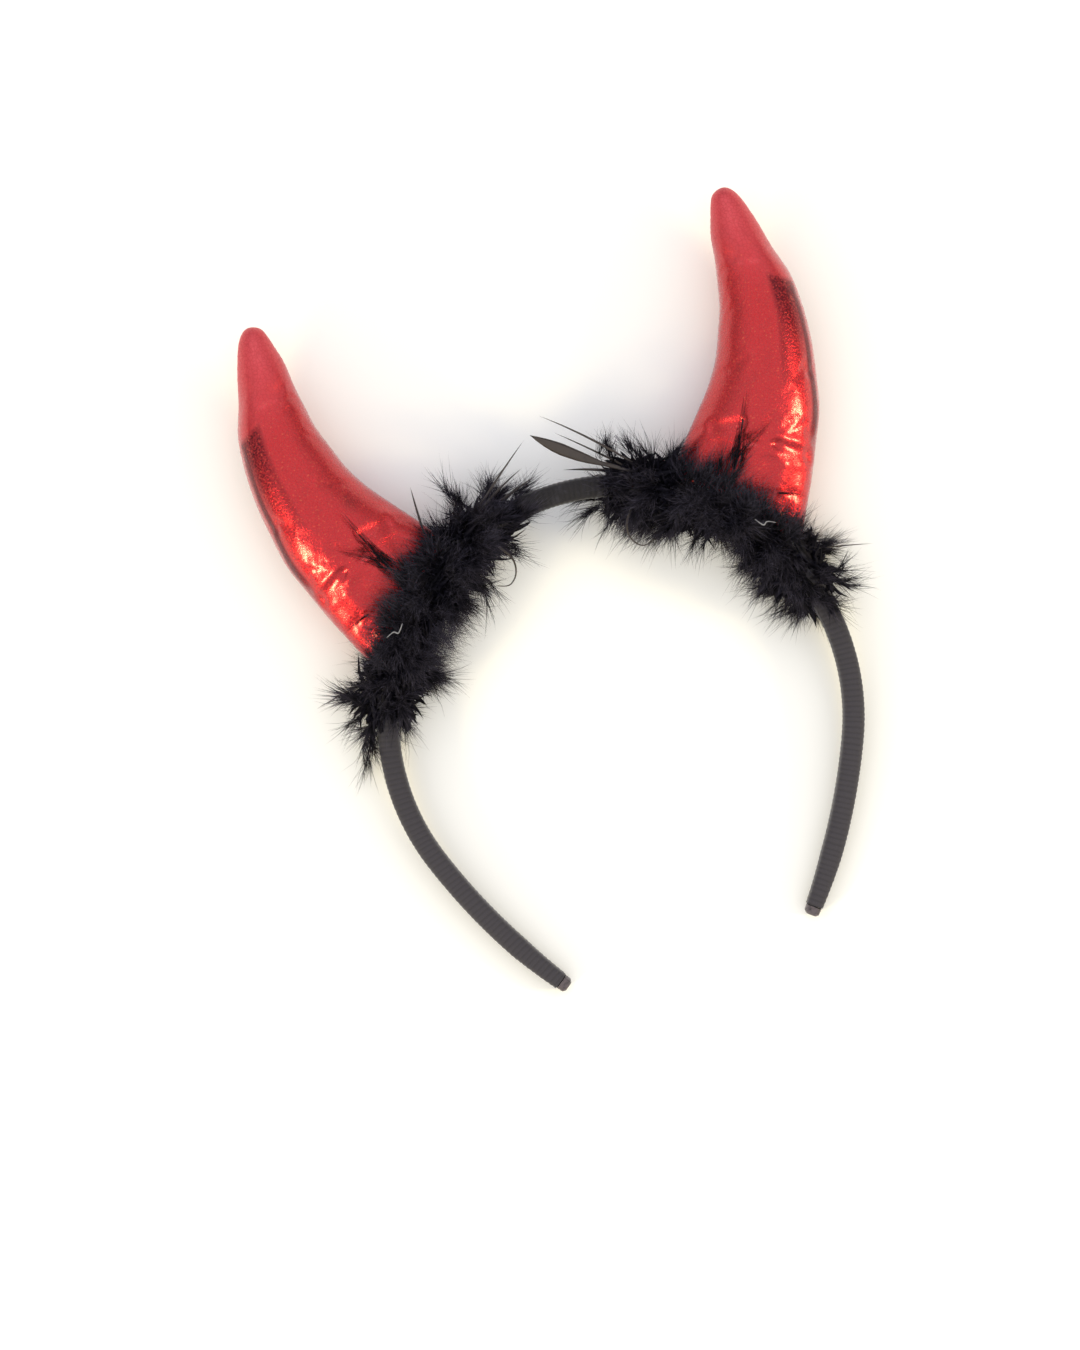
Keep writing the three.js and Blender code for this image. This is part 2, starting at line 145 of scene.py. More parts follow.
# Long quills, from a root to a tip: along the band from its top, out from its middle line and up, with half
# breadth, half thickness and bow outwards
QUILLS_RIGHT = table(
    "along out up to_along to_out to_up broad thick bow gloss",
    (23, 6, 5, 1.4, 23, 5, 0.34, 0.2, 1.6, 0),
    (23, 4, 5, -1.8, 18.6, 7, 1.75, 0.22, -2.2, 1),
    (23, 4, 2, 3.6, 17.4, 2, 0.3, 0.2, 0.6, 0),
    (24, 3, 2, 3.6, 6.4, 2, 0.5, 0.24, 1.6, 0),
    (24, 3, 4, 7.5, 9.5, 5, 0.45, 0.2, 1.2, 0),
    (76, 7, 2, 83.5, 21, 1, 0.2, 0.12, 0.6, 0),
)
QUILLS_LEFT = table(
    "along out up to_along to_out to_up broad thick bow gloss",
    (23, 5, 5, 3.2, 17.8, 5, 0.32, 0.2, 0.6, 0),
    (24, 3, 2, 3.4, 7, 4, 0.5, 0.24, 1.2, 0),
    (24, 4, 4, 6, 10.5, 5, 0.4, 0.2, 1.4, 0),
    (25.5, -5, 2, 11.5, -5.8, 2.5, 0.4, 0.2, -1.2, 0),
    (36, 9, 4, 30, 23, 3, 0.35, 0.2, 0.6, 0),
    (76, 7, 2, 83.5, 20.4, 1, 0.2, 0.12, 0.6, 0),
)

# Curled stem at the inner side of a trim, and the bent pale one on its front: points along, out and up
CURLED_STEM = [(22, -6, 9), (20.5, -11, 10), (22.5, -15, 10), (27, -16.5, 10), (31, -14, 11)]
PALE_STEM = [(57.4, 1.7, 16.3), (60.2, 1.7, 16.8), (60.5, 3.1, 16.9), (62.7, 4.4, 16.5)]

# Single barbs that lie over a horn's front: across and rise from root to tip
HORN_BARBS = table(
    "across rise to_across to_rise",
    (-0.24, 0.1, -0.44, 0.43),
    (-0.22, 0.1, -0.38, 0.36),
    (-0.2, 0.1, -0.3, 0.31),
    (-0.26, 0.14, 0.2, 0.36),
    (-0.2, 0.12, -0.14, 0.28),
    (-0.3, 0.12, -0.36, 0.27),
    (0.5, 0.1, 1.0, 0.15),
)

# Barbs that follow each row of HORN_BARBS
STRAY_EACH = 7

# Half breadths of the stems from root to tip
CURLED_BREADTH = (0.34, 0.12)
CURLED_STEPS = 18
PALE_BREADTH = {"at": (0, 5, 9, 15), "half": (0.08, 0.2, 0.18, 0.06)}
PALE_STEPS = 16

# Shares of a quill's breadth and thickness at shares of its length. A glossy one is a vane on a bare shaft.
QUILL_TAPER = {"at": (0, 0.4, 0.8, 1), "broad": (0.8, 1, 0.5, 0)}
VANE_TAPER = {"at": (0, 0.3, 0.5, 0.72, 0.88, 1), "broad": (0.2, 0.3, 0.8, 1, 0.6, 0)}
QUILL_THINNING = {"at": (0, 0.6, 1), "thick": (1, 0.8, 0.2)}

# Four points of a barb or a web: how far along it they are, and what is left of its breadth
BARB_STEPS = np.array([0, 0.34, 0.68, 1.0])
BARB_TAPER = np.array([1.0, 0.85, 0.55, 0.0])
WEB_TAPER = np.array([0.8, 1.0, 0.5, 0.0])
WEB_THICKNESS = 0.12

# Places along the band that locks and webs grow from, and those where the horn stands. There the directions
# up to SHUT_ANGLE off the outward one are shut: their feathers go inwards, SHUT_TURN times as far off inwards
LOCK_STRETCH = (14.5, 88.0)
WEB_STRETCH = (15.5, 86.5)
SHUT_STRETCH = (32.5, 72.5)
SHUT_ANGLE = 1.15
SHUT_TURN = 1.6

# How far the ends of locks lean along the band, and how short webs are, at places along it
LOCK_SWEEP = {"at": (14, 24, 40, 60, 78, 89), "shift": (-7, -5, -1.5, 1.5, 4, 6)}
WEB_LENGTH = {"at": (15, 24, 80, 87), "share": (0.55, 1, 1, 0.55)}

# Least height of feathers over the horn's faces and over the floor, and the horn's rises that they keep off
OVER_HORN = 0.35
OVER_FLOOR = 0.15
HORN_BODY = (-0.07, 0.95)

# Grey fluff in the left trim's notch: number of barbs, middle and spread along the band, half thickness
FLUFF_COUNT = 1000
FLUFF_PLACE = 57
FLUFF_SPREAD = 5.0
FLUFF_FINENESS = 0.04

# Layers that the barbs of one trim are split into
LAYERS = 3

# Ribbon: points round the band, rings in one turn, rings of its inner wall
RIBBON_SIDES = 26
TURN_SAMPLES = 6
INNER_RINGS = 120

# Ridge of one turn of ribbon, in shares of its pitch and height
RIDGE = {"at": (0, 0.16, 0.34, 0.8, 1), "height": (0, 0.85, 1, 0.3, 0)}

# Round tip of a horn: share of its length at which it starts, its arc in degrees, how much it narrows and how
# many degrees it turns further
TIP_START = 12 / 13
TIP_ARC = 80
TIP_TAPER = 0.4
TIP_TURN = 10.0

# Share of a horn's length over which its creases and puckers die out below the tip
CREASE_EASE = 0.06

# Sections that the horn's form is read off from, and rings of its closed foot, as shares of its first section
PROFILE_STEPS = 60
FOOT_RINGS = (0.02, 0.25, 0.5, 0.75, 0.94)

# Grid of a horn's skin: its first section, its size as a share of the CAD horn's, rows, columns, how often it
# is split, and how full the faces are
HORN_START = 0.055
HORN_INSET = 0.985
HORN_ROWS = 62
TIP_ROWS = 10
HORN_COLUMNS = 64
HORN_FINER = 2
FACE_FULLNESS = 1.08

# Cloth of a horn: scale and frames of its simulation, most that it moves, and what share of that is kept up
# the horn
CLOTH_SCALE = 6.0
CLOTH_FRAMES = 16
CLOTH_CAP = 1.6
CLOTH_PRESSURE = 5.0
CLOTH_EASE = {"at": (0.02, 0.12, 0.5, 0.74), "share": (0, 1, 1, 0)}
CLOTH = {
    "quality": 6,
    "mass": 0.2,
    "tension_stiffness": 18,
    "compression_stiffness": 18,
    "shear_stiffness": 6,
    "bending_stiffness": 0.2,
}

# Seams of a horn: angle round it and phase of the puckers, length of a pucker, of the longer wave over them
# and how far one draws in the cloth, depth and reach of the seam's own groove, and the random draws
SEAMS = ((0.0, 0.0), (np.pi, 1.3))
STITCH = 3.1
LONG_WAVE = 2 * np.pi * 7
PUCKER_REACH = 2.6
GROOVE_DEPTH = 0.1
GROOVE_REACH = 0.45
SEAM_WANDERS = 40
SEAM_SEED = 11

# Painted reflection: dark patches painted on a horn's foil, across and up it, for the dark room mirrored in it.
# Each comes in over the first two numbers and fades out over the last two
PAINTED_REFLECTION_EDGE = {"across": (0.74, 0.82, 0.87, 0.93), "rise": (0.24, 0.42, 0.76, 0.79)}
PAINTED_REFLECTION_INNER = {"across": (0.14, 0.26, 0.3, 0.46), "rise": (0.36, 0.6, 0.77, 0.79)}
PAINTED_REFLECTION_PATCH = {"across": (0.18, 0.32, 0.88, 0.94), "rise": (0.5, 0.74, 0.77, 0.79)}

# Stage, in metres: half the floor, what the camera and the lights point at, the lights' places and sizes, and
# the camera's sensor in millimetres
FLOOR_HALF = 3.0
CAMERA_AIM = (-0.0189, -0.0148, 0.013)
LIGHT_AIM = (0, 0.02, 0.01)
SIDE_PLACE = (0.8, -0.36, 0.38)
SIDE_SIZE = (0.16, 0.22)
BACK_PLACE = (0.0, 0.95, 0.95)
BACK_SIZE = (1.1, 0.5)
SENSOR = 36.0

SIDES = {"right": 1, "left": -1}


def setting(kind, name, description, default, **more):
    """One property of a settings group."""
    return kind(name=name, description=description, default=default, **more)


def length(name, description, value):
    return setting(FloatProperty, name, description, value * MM, min=0, unit="LENGTH", precision=5)


def colour(name, description, value):
    return setting(FloatVectorProperty, name, description, value, size=3, min=0, max=1, subtype="COLOR")


def share(name, description, value, most=1.0):
    return setting(FloatProperty, name, description, value, min=0, max=most)


def number(name, description, value):
    return setting(IntProperty, name, description, value, min=1)


class HeadbandRibbonSettings(bpy.types.PropertyGroup):
    """Ribbon wound round the strip"""

    pitch: length("Pitch", "Length of the band that one turn of ribbon covers", 1.55)
    ridge: length("Ridge", "How far the edge of a turn stands over the one below", 0.13)
    crown_colour: colour("Crown colour", "Ribbon at the top of the band", (0.0115, 0.0098, 0.0128))
    # Painted light: the arms' colour is lighter than the crown's, for how the light falls along the band
    arm_colour: colour("Arm colour", "Ribbon on the band's arms", (0.037, 0.034, 0.046))
    tip_colour: colour("Tip colour", "Plastic at the band's ends", (0.085, 0.068, 0.082))


class HeadbandHornSettings(bpy.types.PropertyGroup):
    """Padded horns"""

    fill: share("Fill", "How tightly the horns are stuffed", 0.85)
    slack: share("Slack", "Spare cloth that the seams gather, as a share of its length", 0.008, 0.2)
    pucker: length("Pucker", "Depth of the puckers along the seams", 0.08)
    crackle: length("Crackle", "Size of the cracks in the foil", 1.1)
    foil: colour("Foil", "Foil in full light", (0.5, 0.008, 0.014))
    shade: colour("Shade", "Foil where it is deepest", (0.3, 0.004, 0.008))
    # Painted reflection: the dark tone painted along the foil's outer flank, for the dark room mirrored there
    painted_flank_reflection: colour("Flank", "Foil along the outer flank", (0.08, 0.006, 0.012))
    gilt: colour("Gilt", "Flecks where the bare foil shows", (0.85, 0.26, 0.09))
    # Dull worn foil at the tip, its colour painted lighter and pinker as a painted pale reflection
    wear_and_painted_reflection: colour("Worn", "Foil at the tip, where it is dull", (0.58, 0.065, 0.085))


class HeadbandFeatherSettings(bpy.types.PropertyGroup):
    """Feather trims"""

    plumes: number("Plumes", "Small plumes round the band in one trim", 560)
    locks: number("Locks", "Locks that the plumes of one trim gather into", 150)
    foot_plumes: number("Foot plumes", "Small plumes on one horn's foot", 160)
    barbs: number("Barbs", "Barbs on one plume", 30)
    webs: number("Webs", "Broad dark webs under the down of one trim", 1500)
    barb: length("Barb", "Length of a barb", 9.2)
    fineness: length("Fineness", "Half thickness of a barb at its root", 0.08)
    seed: setting(IntProperty, "Seed", "Start of the random draws", 7)
    down: colour("Down", "Feathers near their root", (0.0065, 0.0058, 0.0105))
    # Painted glow: the tips' colour is lighter, for light shining through the thin barbs
    fringe: colour("Fringe", "Feathers at their tips", (0.088, 0.082, 0.122))
    quill: colour("Quill", "Long quills", (0.035, 0.026, 0.024))
    stem: colour("Stem", "Bare bent stem", (0.27, 0.27, 0.3))


class HeadbandStageSettings(bpy.types.PropertyGroup):
    """Floor, lights and camera"""

    distance: length("Distance", "From the camera to the middle of the object", 1200)
    view_height: length("View height", "Height of the picture at the object", 385.7)
    lean: setting(FloatProperty, "Lean", "Turn of the object", math.radians(16.5), subtype="ANGLE")
    floor: colour("Floor", "Colour of the floor", (0.95, 0.955, 0.965))
    side: setting(FloatProperty, "Side", "Power of each side light in watts", 4.6, min=0)
    warmth: colour("Warmth", "Colour of the side lights", (1.0, 0.84, 0.45))
    back: setting(FloatProperty, "Back", "Power of the light behind the tips in watts", 1.6, min=0)
    ceiling: share("Ceiling", "Brightness of the room overhead", 1.06, 2.0)
    walls: share("Walls", "Brightness of the room's walls", 0.48, 2.0)


# Shapes


def tilted(points, degrees):
    """Points turned about the axis across the head."""
    cos, sin = math.cos(math.radians(degrees)), math.sin(math.radians(degrees))
    x, y, z = np.moveaxis(points, -1, 0)
    return np.stack([x, y * cos - z * sin, y * sin + z * cos], -1)


def seat(points):
    """Points of the band's plane, in millimetres, put where the object lies, in metres."""
    return (tilted(points, LYING_TILT) + LYING_PLACE) * MM


def unseat(points):
    """The way back of seat()."""
    return tilted(points / MM - LYING_PLACE, -LYING_TILT)


def unit(vectors):
    return vectors / np.maximum(np.linalg.norm(vectors, axis=-1, keepdims=True), 1e-9)


def between(part, before, low, high, after):
    """Smooth value a part of the way from low to high, given the values on either side of them."""
    leave, arrive = (high - before) / 2, (after - low) / 2
    return (
        low
        + part * leave
        + part**2 * (3 * (high - low) - 2 * leave - arrive)
        + part**3 * (2 * (low - high) + leave + arrive)
    )


def smooth_rows(rows, shares):
    """Smooth curve through a table's rows at shares of its length, one array for each column."""
    scaled = np.asarray(shares) * (len(rows) - 1)
    start = np.clip(np.floor(scaled).astype(int), 0, len(rows) - 2)
    found = {}
    for name in rows[0]:
        column = np.array([row[name] for row in rows], float)
        near = [column[np.clip(start + step, 0, len(rows) - 1)] for step in (-1, 0, 1, 2)]
        found[name] = between(scaled - start, *near)
    return found


def read_off(columns, name, at):
    """A column of a table at places between its rows."""
    return np.interp(at, columns["at"], columns[name])


def bent(root, knee, end, part):
    """Points a part of the way along curves that leave root towards knee and arrive at end."""
    return (1 - part) ** 2 * root + 2 * part * (1 - part) * knee + part**2 * end


def band_station(distance):
    """Places on the band's middle line, with the direction away from the head."""
    distance = np.asarray(distance, float)
    side = np.where(distance < 0, -1.0, 1.0)
    run = np.abs(distance)
    crown_run = np.minimum(run, CROWN_LENGTH)
    bend = crown_run / CROWN_RADIUS
    turn = bend + (run - crown_run) / LEG_RADIUS
    x = CROWN_RADIUS * np.sin(bend) + LEG_RADIUS * (np.sin(turn) - np.sin(bend))
    y = CROWN_RADIUS * np.cos(bend) + LEG_RADIUS * (np.cos(turn) - np.cos(bend))
    flat = np.zeros_like(x)
    return np.stack([side * x, y, flat], -1), np.stack([side * np.sin(turn), np.cos(turn), flat], -1)


def beside_band(distance, out, up):
    centre, away = band_station(distance)
    lift = np.zeros_like(centre)
    lift[..., 2] = up
    return centre + away * np.asarray(out, float)[..., None] + lift


def band_rings(distances, sides, inset):
    """Rings round the band, drawn in from its outer surface. inset is a number or one for each point."""
    angles = 2 * np.pi * (np.arange(sides) + 0.5) / sides
    across, up = np.cos(angles), np.sin(angles)
    at = np.abs(distances) / HALF_LENGTH
    thick = read_off(BAND_TAPER, "thickness", at)[:, None] * BAND_THICKNESS / 2 - inset
    wide = read_off(BAND_TAPER, "width", at)[:, None] * BAND_WIDTH / 2 - inset
    reach = np.sign(across) * np.abs(across) ** BAND_SQUARENESS * thick
    rise = np.sign(up) * np.abs(up) ** BAND_SQUARENESS * wide
    return beside_band(np.broadcast_to(distances[:, None], reach.shape), reach, rise)


def skin(rings, hollow=False):
    """Points and faces of a closed surface through rings, its ends closed or, round a hollow, joined."""
    count, sides, _ = rings.shape
    points = rings.reshape(-1, 3)
    here = np.arange(count if hollow else count - 1)[:, None] * sides
    there = (here + sides) % (count * sides)
    side = np.arange(sides)[None, :]
    following = (side + 1) % sides
    quads = np.stack([here + side, here + following, there + following, there + side], -1).reshape(-1, 4)
    faces = [quads]
    if not hollow:
        last = (count - 1) * sides
        first, end = len(points), len(points) + 1
        points = np.vstack([points, rings[0].mean(0), rings[-1].mean(0)])
        around, after = side[0], following[0]
        faces.append(np.stack([np.full(sides, first), after, around], -1))
        faces.append(np.stack([np.full(sides, end), last + around, last + after], -1))
    return points, faces


def strands(curves, broad, thick=None, sides=3):
    """Points and faces of closed strands along curves that end in a point, and each point's share along."""
    count, steps, _ = curves.shape
    rings = steps - 1
    thick = broad if thick is None else thick
    along = unit(np.gradient(curves, axis=1))[:, :rings]
    chord = unit(curves[:, -1] - curves[:, 0])
    guide = np.where(np.abs(chord[:, 2:]) > 0.85, [[1.0, 0, 0]], [[0, 0, 1.0]])[:, None]
    side = unit(np.cross(along, guide))
    over = np.cross(side, along)
    angles = -2 * np.pi * np.arange(sides) / sides
    ring = (
        curves[:, :rings, None]
        + np.cos(angles)[:, None] * (side * broad[:, :rings, None])[:, :, None]
        + np.sin(angles)[:, None] * (over * thick[:, :rings, None])[:, :, None]
    )
    each = rings * sides + 1
    points = np.concatenate([ring.reshape(count, -1, 3), curves[:, -1:]], 1).reshape(-1, 3)
    corner = np.arange(sides)
    after = (corner + 1) % sides
    faces = []
    for step in range(rings - 1):
        low, high = step * sides, (step + 1) * sides
        faces.append(np.stack([low + corner, low + after, high + after], -1))
        faces.append(np.stack([low + corner, high + after, high + corner], -1))
    top = (rings - 1) * sides
    faces.append(np.stack([top + corner, top + after, np.full(sides, each - 1)], -1))
    faces.append(np.stack([np.zeros(sides - 2, int), corner[2:], corner[1:-1]], -1))
    pattern = np.vstack(faces)
    triangles = (pattern[None] + (np.arange(count) * each)[:, None, None]).reshape(-1, 3)
    reach = np.append(np.repeat(np.arange(rings) / rings, sides), 1.0)
    return points, [triangles], np.tile(reach, count)


def turned_outwards(points, faces):
    """Faces of a closed surface, turned outwards."""
    volume = 0.0
    for part in faces:
        for corner in range(1, part.shape[1] - 1):
            a, b, c = points[part[:, 0]], points[part[:, corner]], points[part[:, corner + 1]]
            volume += np.einsum("ij,ij->i", a, np.cross(b, c)).sum()
    return [part[:, ::-1] for part in faces] if volume < 0 else faces


def add_object(name, data):
    made = bpy.data.objects.new(name, data)
    bpy.context.scene.collection.objects.link(made)
    return made


def make_piece(name, points, faces, material, marks=()):
    """One object of the headband from points in the band's plane, its faces turned outwards."""
    faces = turned_outwards(points, faces)
    mesh = bpy.data.meshes.new(name)
    mesh.vertices.add(len(points))
    mesh.vertices.foreach_set("co", seat(points).astype(np.float32).ravel())
    corners = np.concatenate([part.ravel() for part in faces]).astype(np.int32)
    sizes = np.concatenate([np.full(len(part), part.shape[1]) for part in faces])
    mesh.loops.add(len(corners))
    mesh.loops.foreach_set("vertex_index", corners)
    mesh.polygons.add(len(sizes))
    mesh.polygons.foreach_set("loop_start", np.concatenate([[0], np.cumsum(sizes)[:-1]]).astype(np.int32))
    mesh.update(calc_edges=True)
    mesh.shade_smooth()
    for mark, values in marks:
        layer = mesh.attributes.new(mark, "FLOAT", "POINT")
        layer.data.foreach_set("value", np.asarray(values, np.float32))
    mesh.materials.append(material)
    made = add_object(name, mesh)
    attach(made, BODY)
    return made


# Materials


def feed(tree, node, values):
    """Links each value to the socket of that name, or sets the socket to it. Colours have three numbers."""
    for name, value in values.items():
        socket = node.inputs[name]
        if isinstance(value, bpy.types.NodeSocket):
            tree.links.new(value, socket)
        else:
            socket.default_value = (*value, 1.0) if socket.type == "RGBA" else value


def add_node(tree, kind, sockets=None, **settings):
    made = tree.nodes.new(kind)
    for name, value in settings.items():
        setattr(made, name, value)
    feed(tree, made, sockets or {})
    return made


def mix_colour(tree, factor, first, second, way="MIX"):
    sockets = {0: factor, 6: first, 7: second}
    return add_node(tree, "ShaderNodeMix", sockets, data_type="RGBA", blend_type=way).outputs[2]


def calculate(tree, operation, first, second):
    return add_node(tree, "ShaderNodeMath", {0: first, 1: second}, operation=operation).outputs[0]


def product(tree, first, second):
    return calculate(tree, "MULTIPLY", first, second)


def span(tree, value, low, high, to_low=0.0, to_high=1.0):
    """Value between low and high spread over to_low and to_high, with soft ends."""
    sockets = {"Value": value, "From Min": low, "From Max": high, "To Min": to_low, "To Max": to_high}
    return add_node(tree, "ShaderNodeMapRange", sockets, interpolation_type="SMOOTHSTEP").outputs["Result"]


def mark_of(tree, name):
    return add_node(tree, "ShaderNodeAttribute", attribute_name=name).outputs["Fac"]


def object_place(tree):
    return add_node(tree, "ShaderNodeTexCoord").outputs["Object"]


def new_group(name, inputs, outputs):
    """Empty node group with its sockets, given by name and default. A tuple makes a colour."""
    group = bpy.data.node_groups.new(name, "ShaderNodeTree")
    for side, sockets in (("INPUT", inputs), ("OUTPUT", outputs)):
        for label, default in sockets.items():
            kind = "NodeSocketColor" if isinstance(default, tuple) else "NodeSocketFloat"
            socket = group.interface.new_socket(name=label, in_out=side, socket_type=kind)
            socket.default_value = default
    return group, group.nodes.new("NodeGroupInput"), group.nodes.new("NodeGroupOutput")


def mottle_group():
    """Colour that drifts between two shades in soft patches."""
    found = bpy.data.node_groups.get("soft_mottle")
    if found:
        return found
    inputs = {"Light": (1, 1, 1, 1), "Dark": (0, 0, 0, 1), "Scale": 100.0, "Balance": 0.5}
    group, given, result = new_group("soft_mottle", inputs, {"Color": (0, 0, 0, 1), "Mask": 0.0})
    noise = {"Vector": object_place(group), "Scale": given.outputs["Scale"], "Detail": 4.0, "Roughness": 0.55}
    drift = add_node(group, "ShaderNodeTexNoise", noise).outputs["Fac"]
    mask = span(group, calculate(group, "ADD", drift, given.outputs["Balance"]), 0.8, 1.2)
    tone = mix_colour(group, mask, given.outputs["Light"], given.outputs["Dark"])
    feed(group, result, {"Color": tone, "Mask": mask})
    return group


def grain_group():
    """Fine cloth grain: a small weave broken by noise, as a height."""
    found = bpy.data.node_groups.get("cloth_grain")
    if found:
        return found
    group, given, result = new_group("cloth_grain", {"Scale": 1000.0, "Break": 0.5}, {"Height": 0.0})
    sockets = {"Vector": object_place(group), "Scale": given.outputs["Scale"]}
    cells = add_node(group, "ShaderNodeTexVoronoi", sockets).outputs["Distance"]
    noise = add_node(group, "ShaderNodeTexNoise", {**sockets, "Detail": 3.0}).outputs["Fac"]
    rough = product(group, noise, given.outputs["Break"])
    feed(group, result, {"Height": calculate(group, "ADD", cells, rough)})
    return group


def mottled(tree, light, dark, scale, balance):
    """Mottled colour, and the mask of its dark patches."""
    sockets = {"Light": light, "Dark": dark, "Scale": scale, "Balance": balance}
    made = add_node(tree, "ShaderNodeGroup", sockets, node_tree=mottle_group())
    return made.outputs["Color"], made.outputs["Mask"]


def grain(tree, scale, broken):
    sockets = {"Scale": scale, "Break": broken}
    return add_node(tree, "ShaderNodeGroup", sockets, node_tree=grain_group()).outputs["Height"]


def new_material(name):
    """Material with one Principled BSDF, and its node tree."""
    made = bpy.data.materials.new(name)
    made.use_nodes = True
    tree = made.node_tree
    tree.nodes.clear()
    surface = tree.nodes.new("ShaderNodeBsdfPrincipled")
    result = tree.nodes.new("ShaderNodeOutputMaterial")
    tree.links.new(surface.outputs["BSDF"], result.inputs["Surface"])
    return made, tree, surface


def relief(tree, surface, height, strength, distance, socket="Normal"):
    sockets = {"Height": height, "Strength": strength, "Distance": distance}
    feed(tree, surface, {socket: add_node(tree, "ShaderNodeBump", sockets).outputs["Normal"]})


def plastic_material(settings):
    made, tree, surface = new_material("band_plastic")
    tone, mask = mottled(tree, settings.tip_colour, settings.crown_colour, 900.0, 0.4)
    feed(tree, surface, {"Base Color": tone, "Roughness": span(tree, mask, 0, 1, 0.38, 0.5)})
    relief(tree, surface, grain(tree, 2500.0, 1.0), 0.15, 0.00003)
    return made


def ribbon_material(settings):
    made, tree, surface = new_material("wound_ribbon")
    tone, _ = mottled(tree, settings.crown_colour, settings.arm_colour, 260.0, 0.3)
    # Painted light: the ribbon is painted lighter towards the arms than at the crown, for how the light falls
    # along the band
    painted_arm_light = span(tree, mark_of(tree, "along"), 0.15, 0.75)
    tone = mix_colour(tree, painted_arm_light, tone, settings.arm_colour)
    # Painted shade: the ribbon's colour is darkened in the grooves between its turns, where the ridge is low
    painted_groove_shade = span(tree, mark_of(tree, "ridge"), 0.0, 0.7, 0.75, 1.0)
    height = grain(tree, 3200.0, 1.4)
    values = {
        "Base Color": mix_colour(tree, 1.0, tone, painted_groove_shade, "MULTIPLY"),
        "Roughness": span(tree, height, 0.2, 1.4, 0.95, 0.72),
        "Specular IOR Level": 0.35,
        "Sheen Weight": 0.25,
        "Sheen Roughness": 0.4,
    }
    feed(tree, surface, values)
    relief(tree, surface, height, 0.5, 0.00008)
    return made


def band_mask(tree, value, start, full, fade, end):
    """1 between full and fade, running out to 0 at start and end."""
    return product(tree, span(tree, value, start, full), span(tree, value, end, fade))


def patch_mask(tree, across, rise, patch):
    return product(tree, band_mask(tree, across, *patch["across"]), band_mask(tree, rise, *patch["rise"]))


def foil_material(settings):
    """Lacquered metallic foil cloth: crackled, with a painted dark reflection on its flank and a dull tip with
    a painted pale reflection.
    """
    made, tree, surface = new_material("horn_foil")
    rise, across = mark_of(tree, "rise"), mark_of(tree, "across")
    # The tip is worn dull: rougher, less metallic, less lacquer. It is also painted lighter and pinker as a
    # painted pale reflection
    wear_and_painted_reflection = span(tree, rise, 0.7, 0.97, 0.0, 0.8)
    tone, _ = mottled(tree, settings.foil, settings.shade, 110.0, 0.26)
    tone = mix_colour(tree, wear_and_painted_reflection, tone, settings.wear_and_painted_reflection)

    cells = {"Vector": object_place(tree), "Scale": 1 / settings.crackle}
    cracks = add_node(tree, "ShaderNodeTexVoronoi", cells, feature="DISTANCE_TO_EDGE").outputs["Distance"]
    crazed = span(tree, cracks, 0.0, 0.14)
    noise = {**cells, "Scale": 1.8 / settings.crackle, "Detail": 2.0, "Roughness": 0.6}
    flecks = add_node(tree, "ShaderNodeTexNoise", noise).outputs["Fac"]

    # Painted reflection: dark patches painted on the outer flank, the inner face and across the top, for the
    # mirrored dark room
    slant = product(tree, calculate(tree, "SUBTRACT", rise, 0.6), 0.3)
    edge = patch_mask(tree, calculate(tree, "ADD", across, slant), rise, PAINTED_REFLECTION_EDGE)
    inner = product(tree, patch_mask(tree, across, rise, PAINTED_REFLECTION_INNER), 0.5)
    speckles = span(tree, flecks, 0.62, 0.42, 0.55, 1.0)
    patch = product(tree, patch_mask(tree, across, rise, PAINTED_REFLECTION_PATCH), speckles)
    painted_flank_reflection = calculate(tree, "MAXIMUM", calculate(tree, "MAXIMUM", edge, patch), inner)
    tone = mix_colour(tree, product(tree, painted_flank_reflection, 0.92), tone, settings.painted_flank_reflection)

    bare = calculate(tree, "SUBTRACT", flecks, product(tree, wear_and_painted_reflection, 0.1))
    tone = mix_colour(tree, span(tree, bare, 0.6, 0.74, 0.0, 0.26), tone, settings.gilt)
    tone = mix_colour(tree, span(tree, crazed, 0, 1, 0.3, 0.0), tone, settings.shade)
    values = {
        "Base Color": tone,
        "Roughness": calculate(
            tree, "ADD", span(tree, flecks, 0.35, 0.65, 0.22, 0.42), product(tree, wear_and_painted_reflection, 0.25)
        ),
        "Metallic": span(tree, wear_and_painted_reflection, 0, 1, 0.95, 0.5),
        "Coat Weight": product(tree, span(tree, wear_and_painted_reflection, 0, 1, 0.85, 0.1), span(tree, painted_flank_reflection, 0, 1, 1.0, 0.3)),
        "Coat Roughness": 0.18,
    }
    feed(tree, surface, values)
    height = calculate(tree, "ADD", product(tree, crazed, 0.4), flecks)
    relief(tree, surface, height, 0.6, 0.00009)
    relief(tree, surface, height, 0.25, 0.00009, "Coat Normal")
    return made


def feather_material(settings):
    """Down: darker at the roots, painted greyer towards the tips as a painted glow of light through them, each
    barb a little different.
    """
    made, tree, surface = new_material("marabou_down")
    island = add_node(tree, "ShaderNodeNewGeometry").outputs["Random Per Island"]
    tone, _ = mottled(tree, settings.down, settings.fringe, 220.0, 0.22)
    # Painted glow: the barbs are painted lighter towards their tips, for light shining through them
    painted_tip_glow = product(tree, span(tree, mark_of(tree, "reach"), 0.35, 1.0), 0.9)
    tone = mix_colour(tree, painted_tip_glow, tone, settings.fringe)
    tone = mix_colour(tree, 1.0, tone, span(tree, island, 0, 1, 0.55, 1.3), "MULTIPLY")
    feed(tree, surface, {"Base Color": tone, "Roughness": 0.65, "Specular IOR Level": 0.1})
    relief(tree, surface, grain(tree, 4200.0, 1.0), 0.2, 0.00003)
    return made


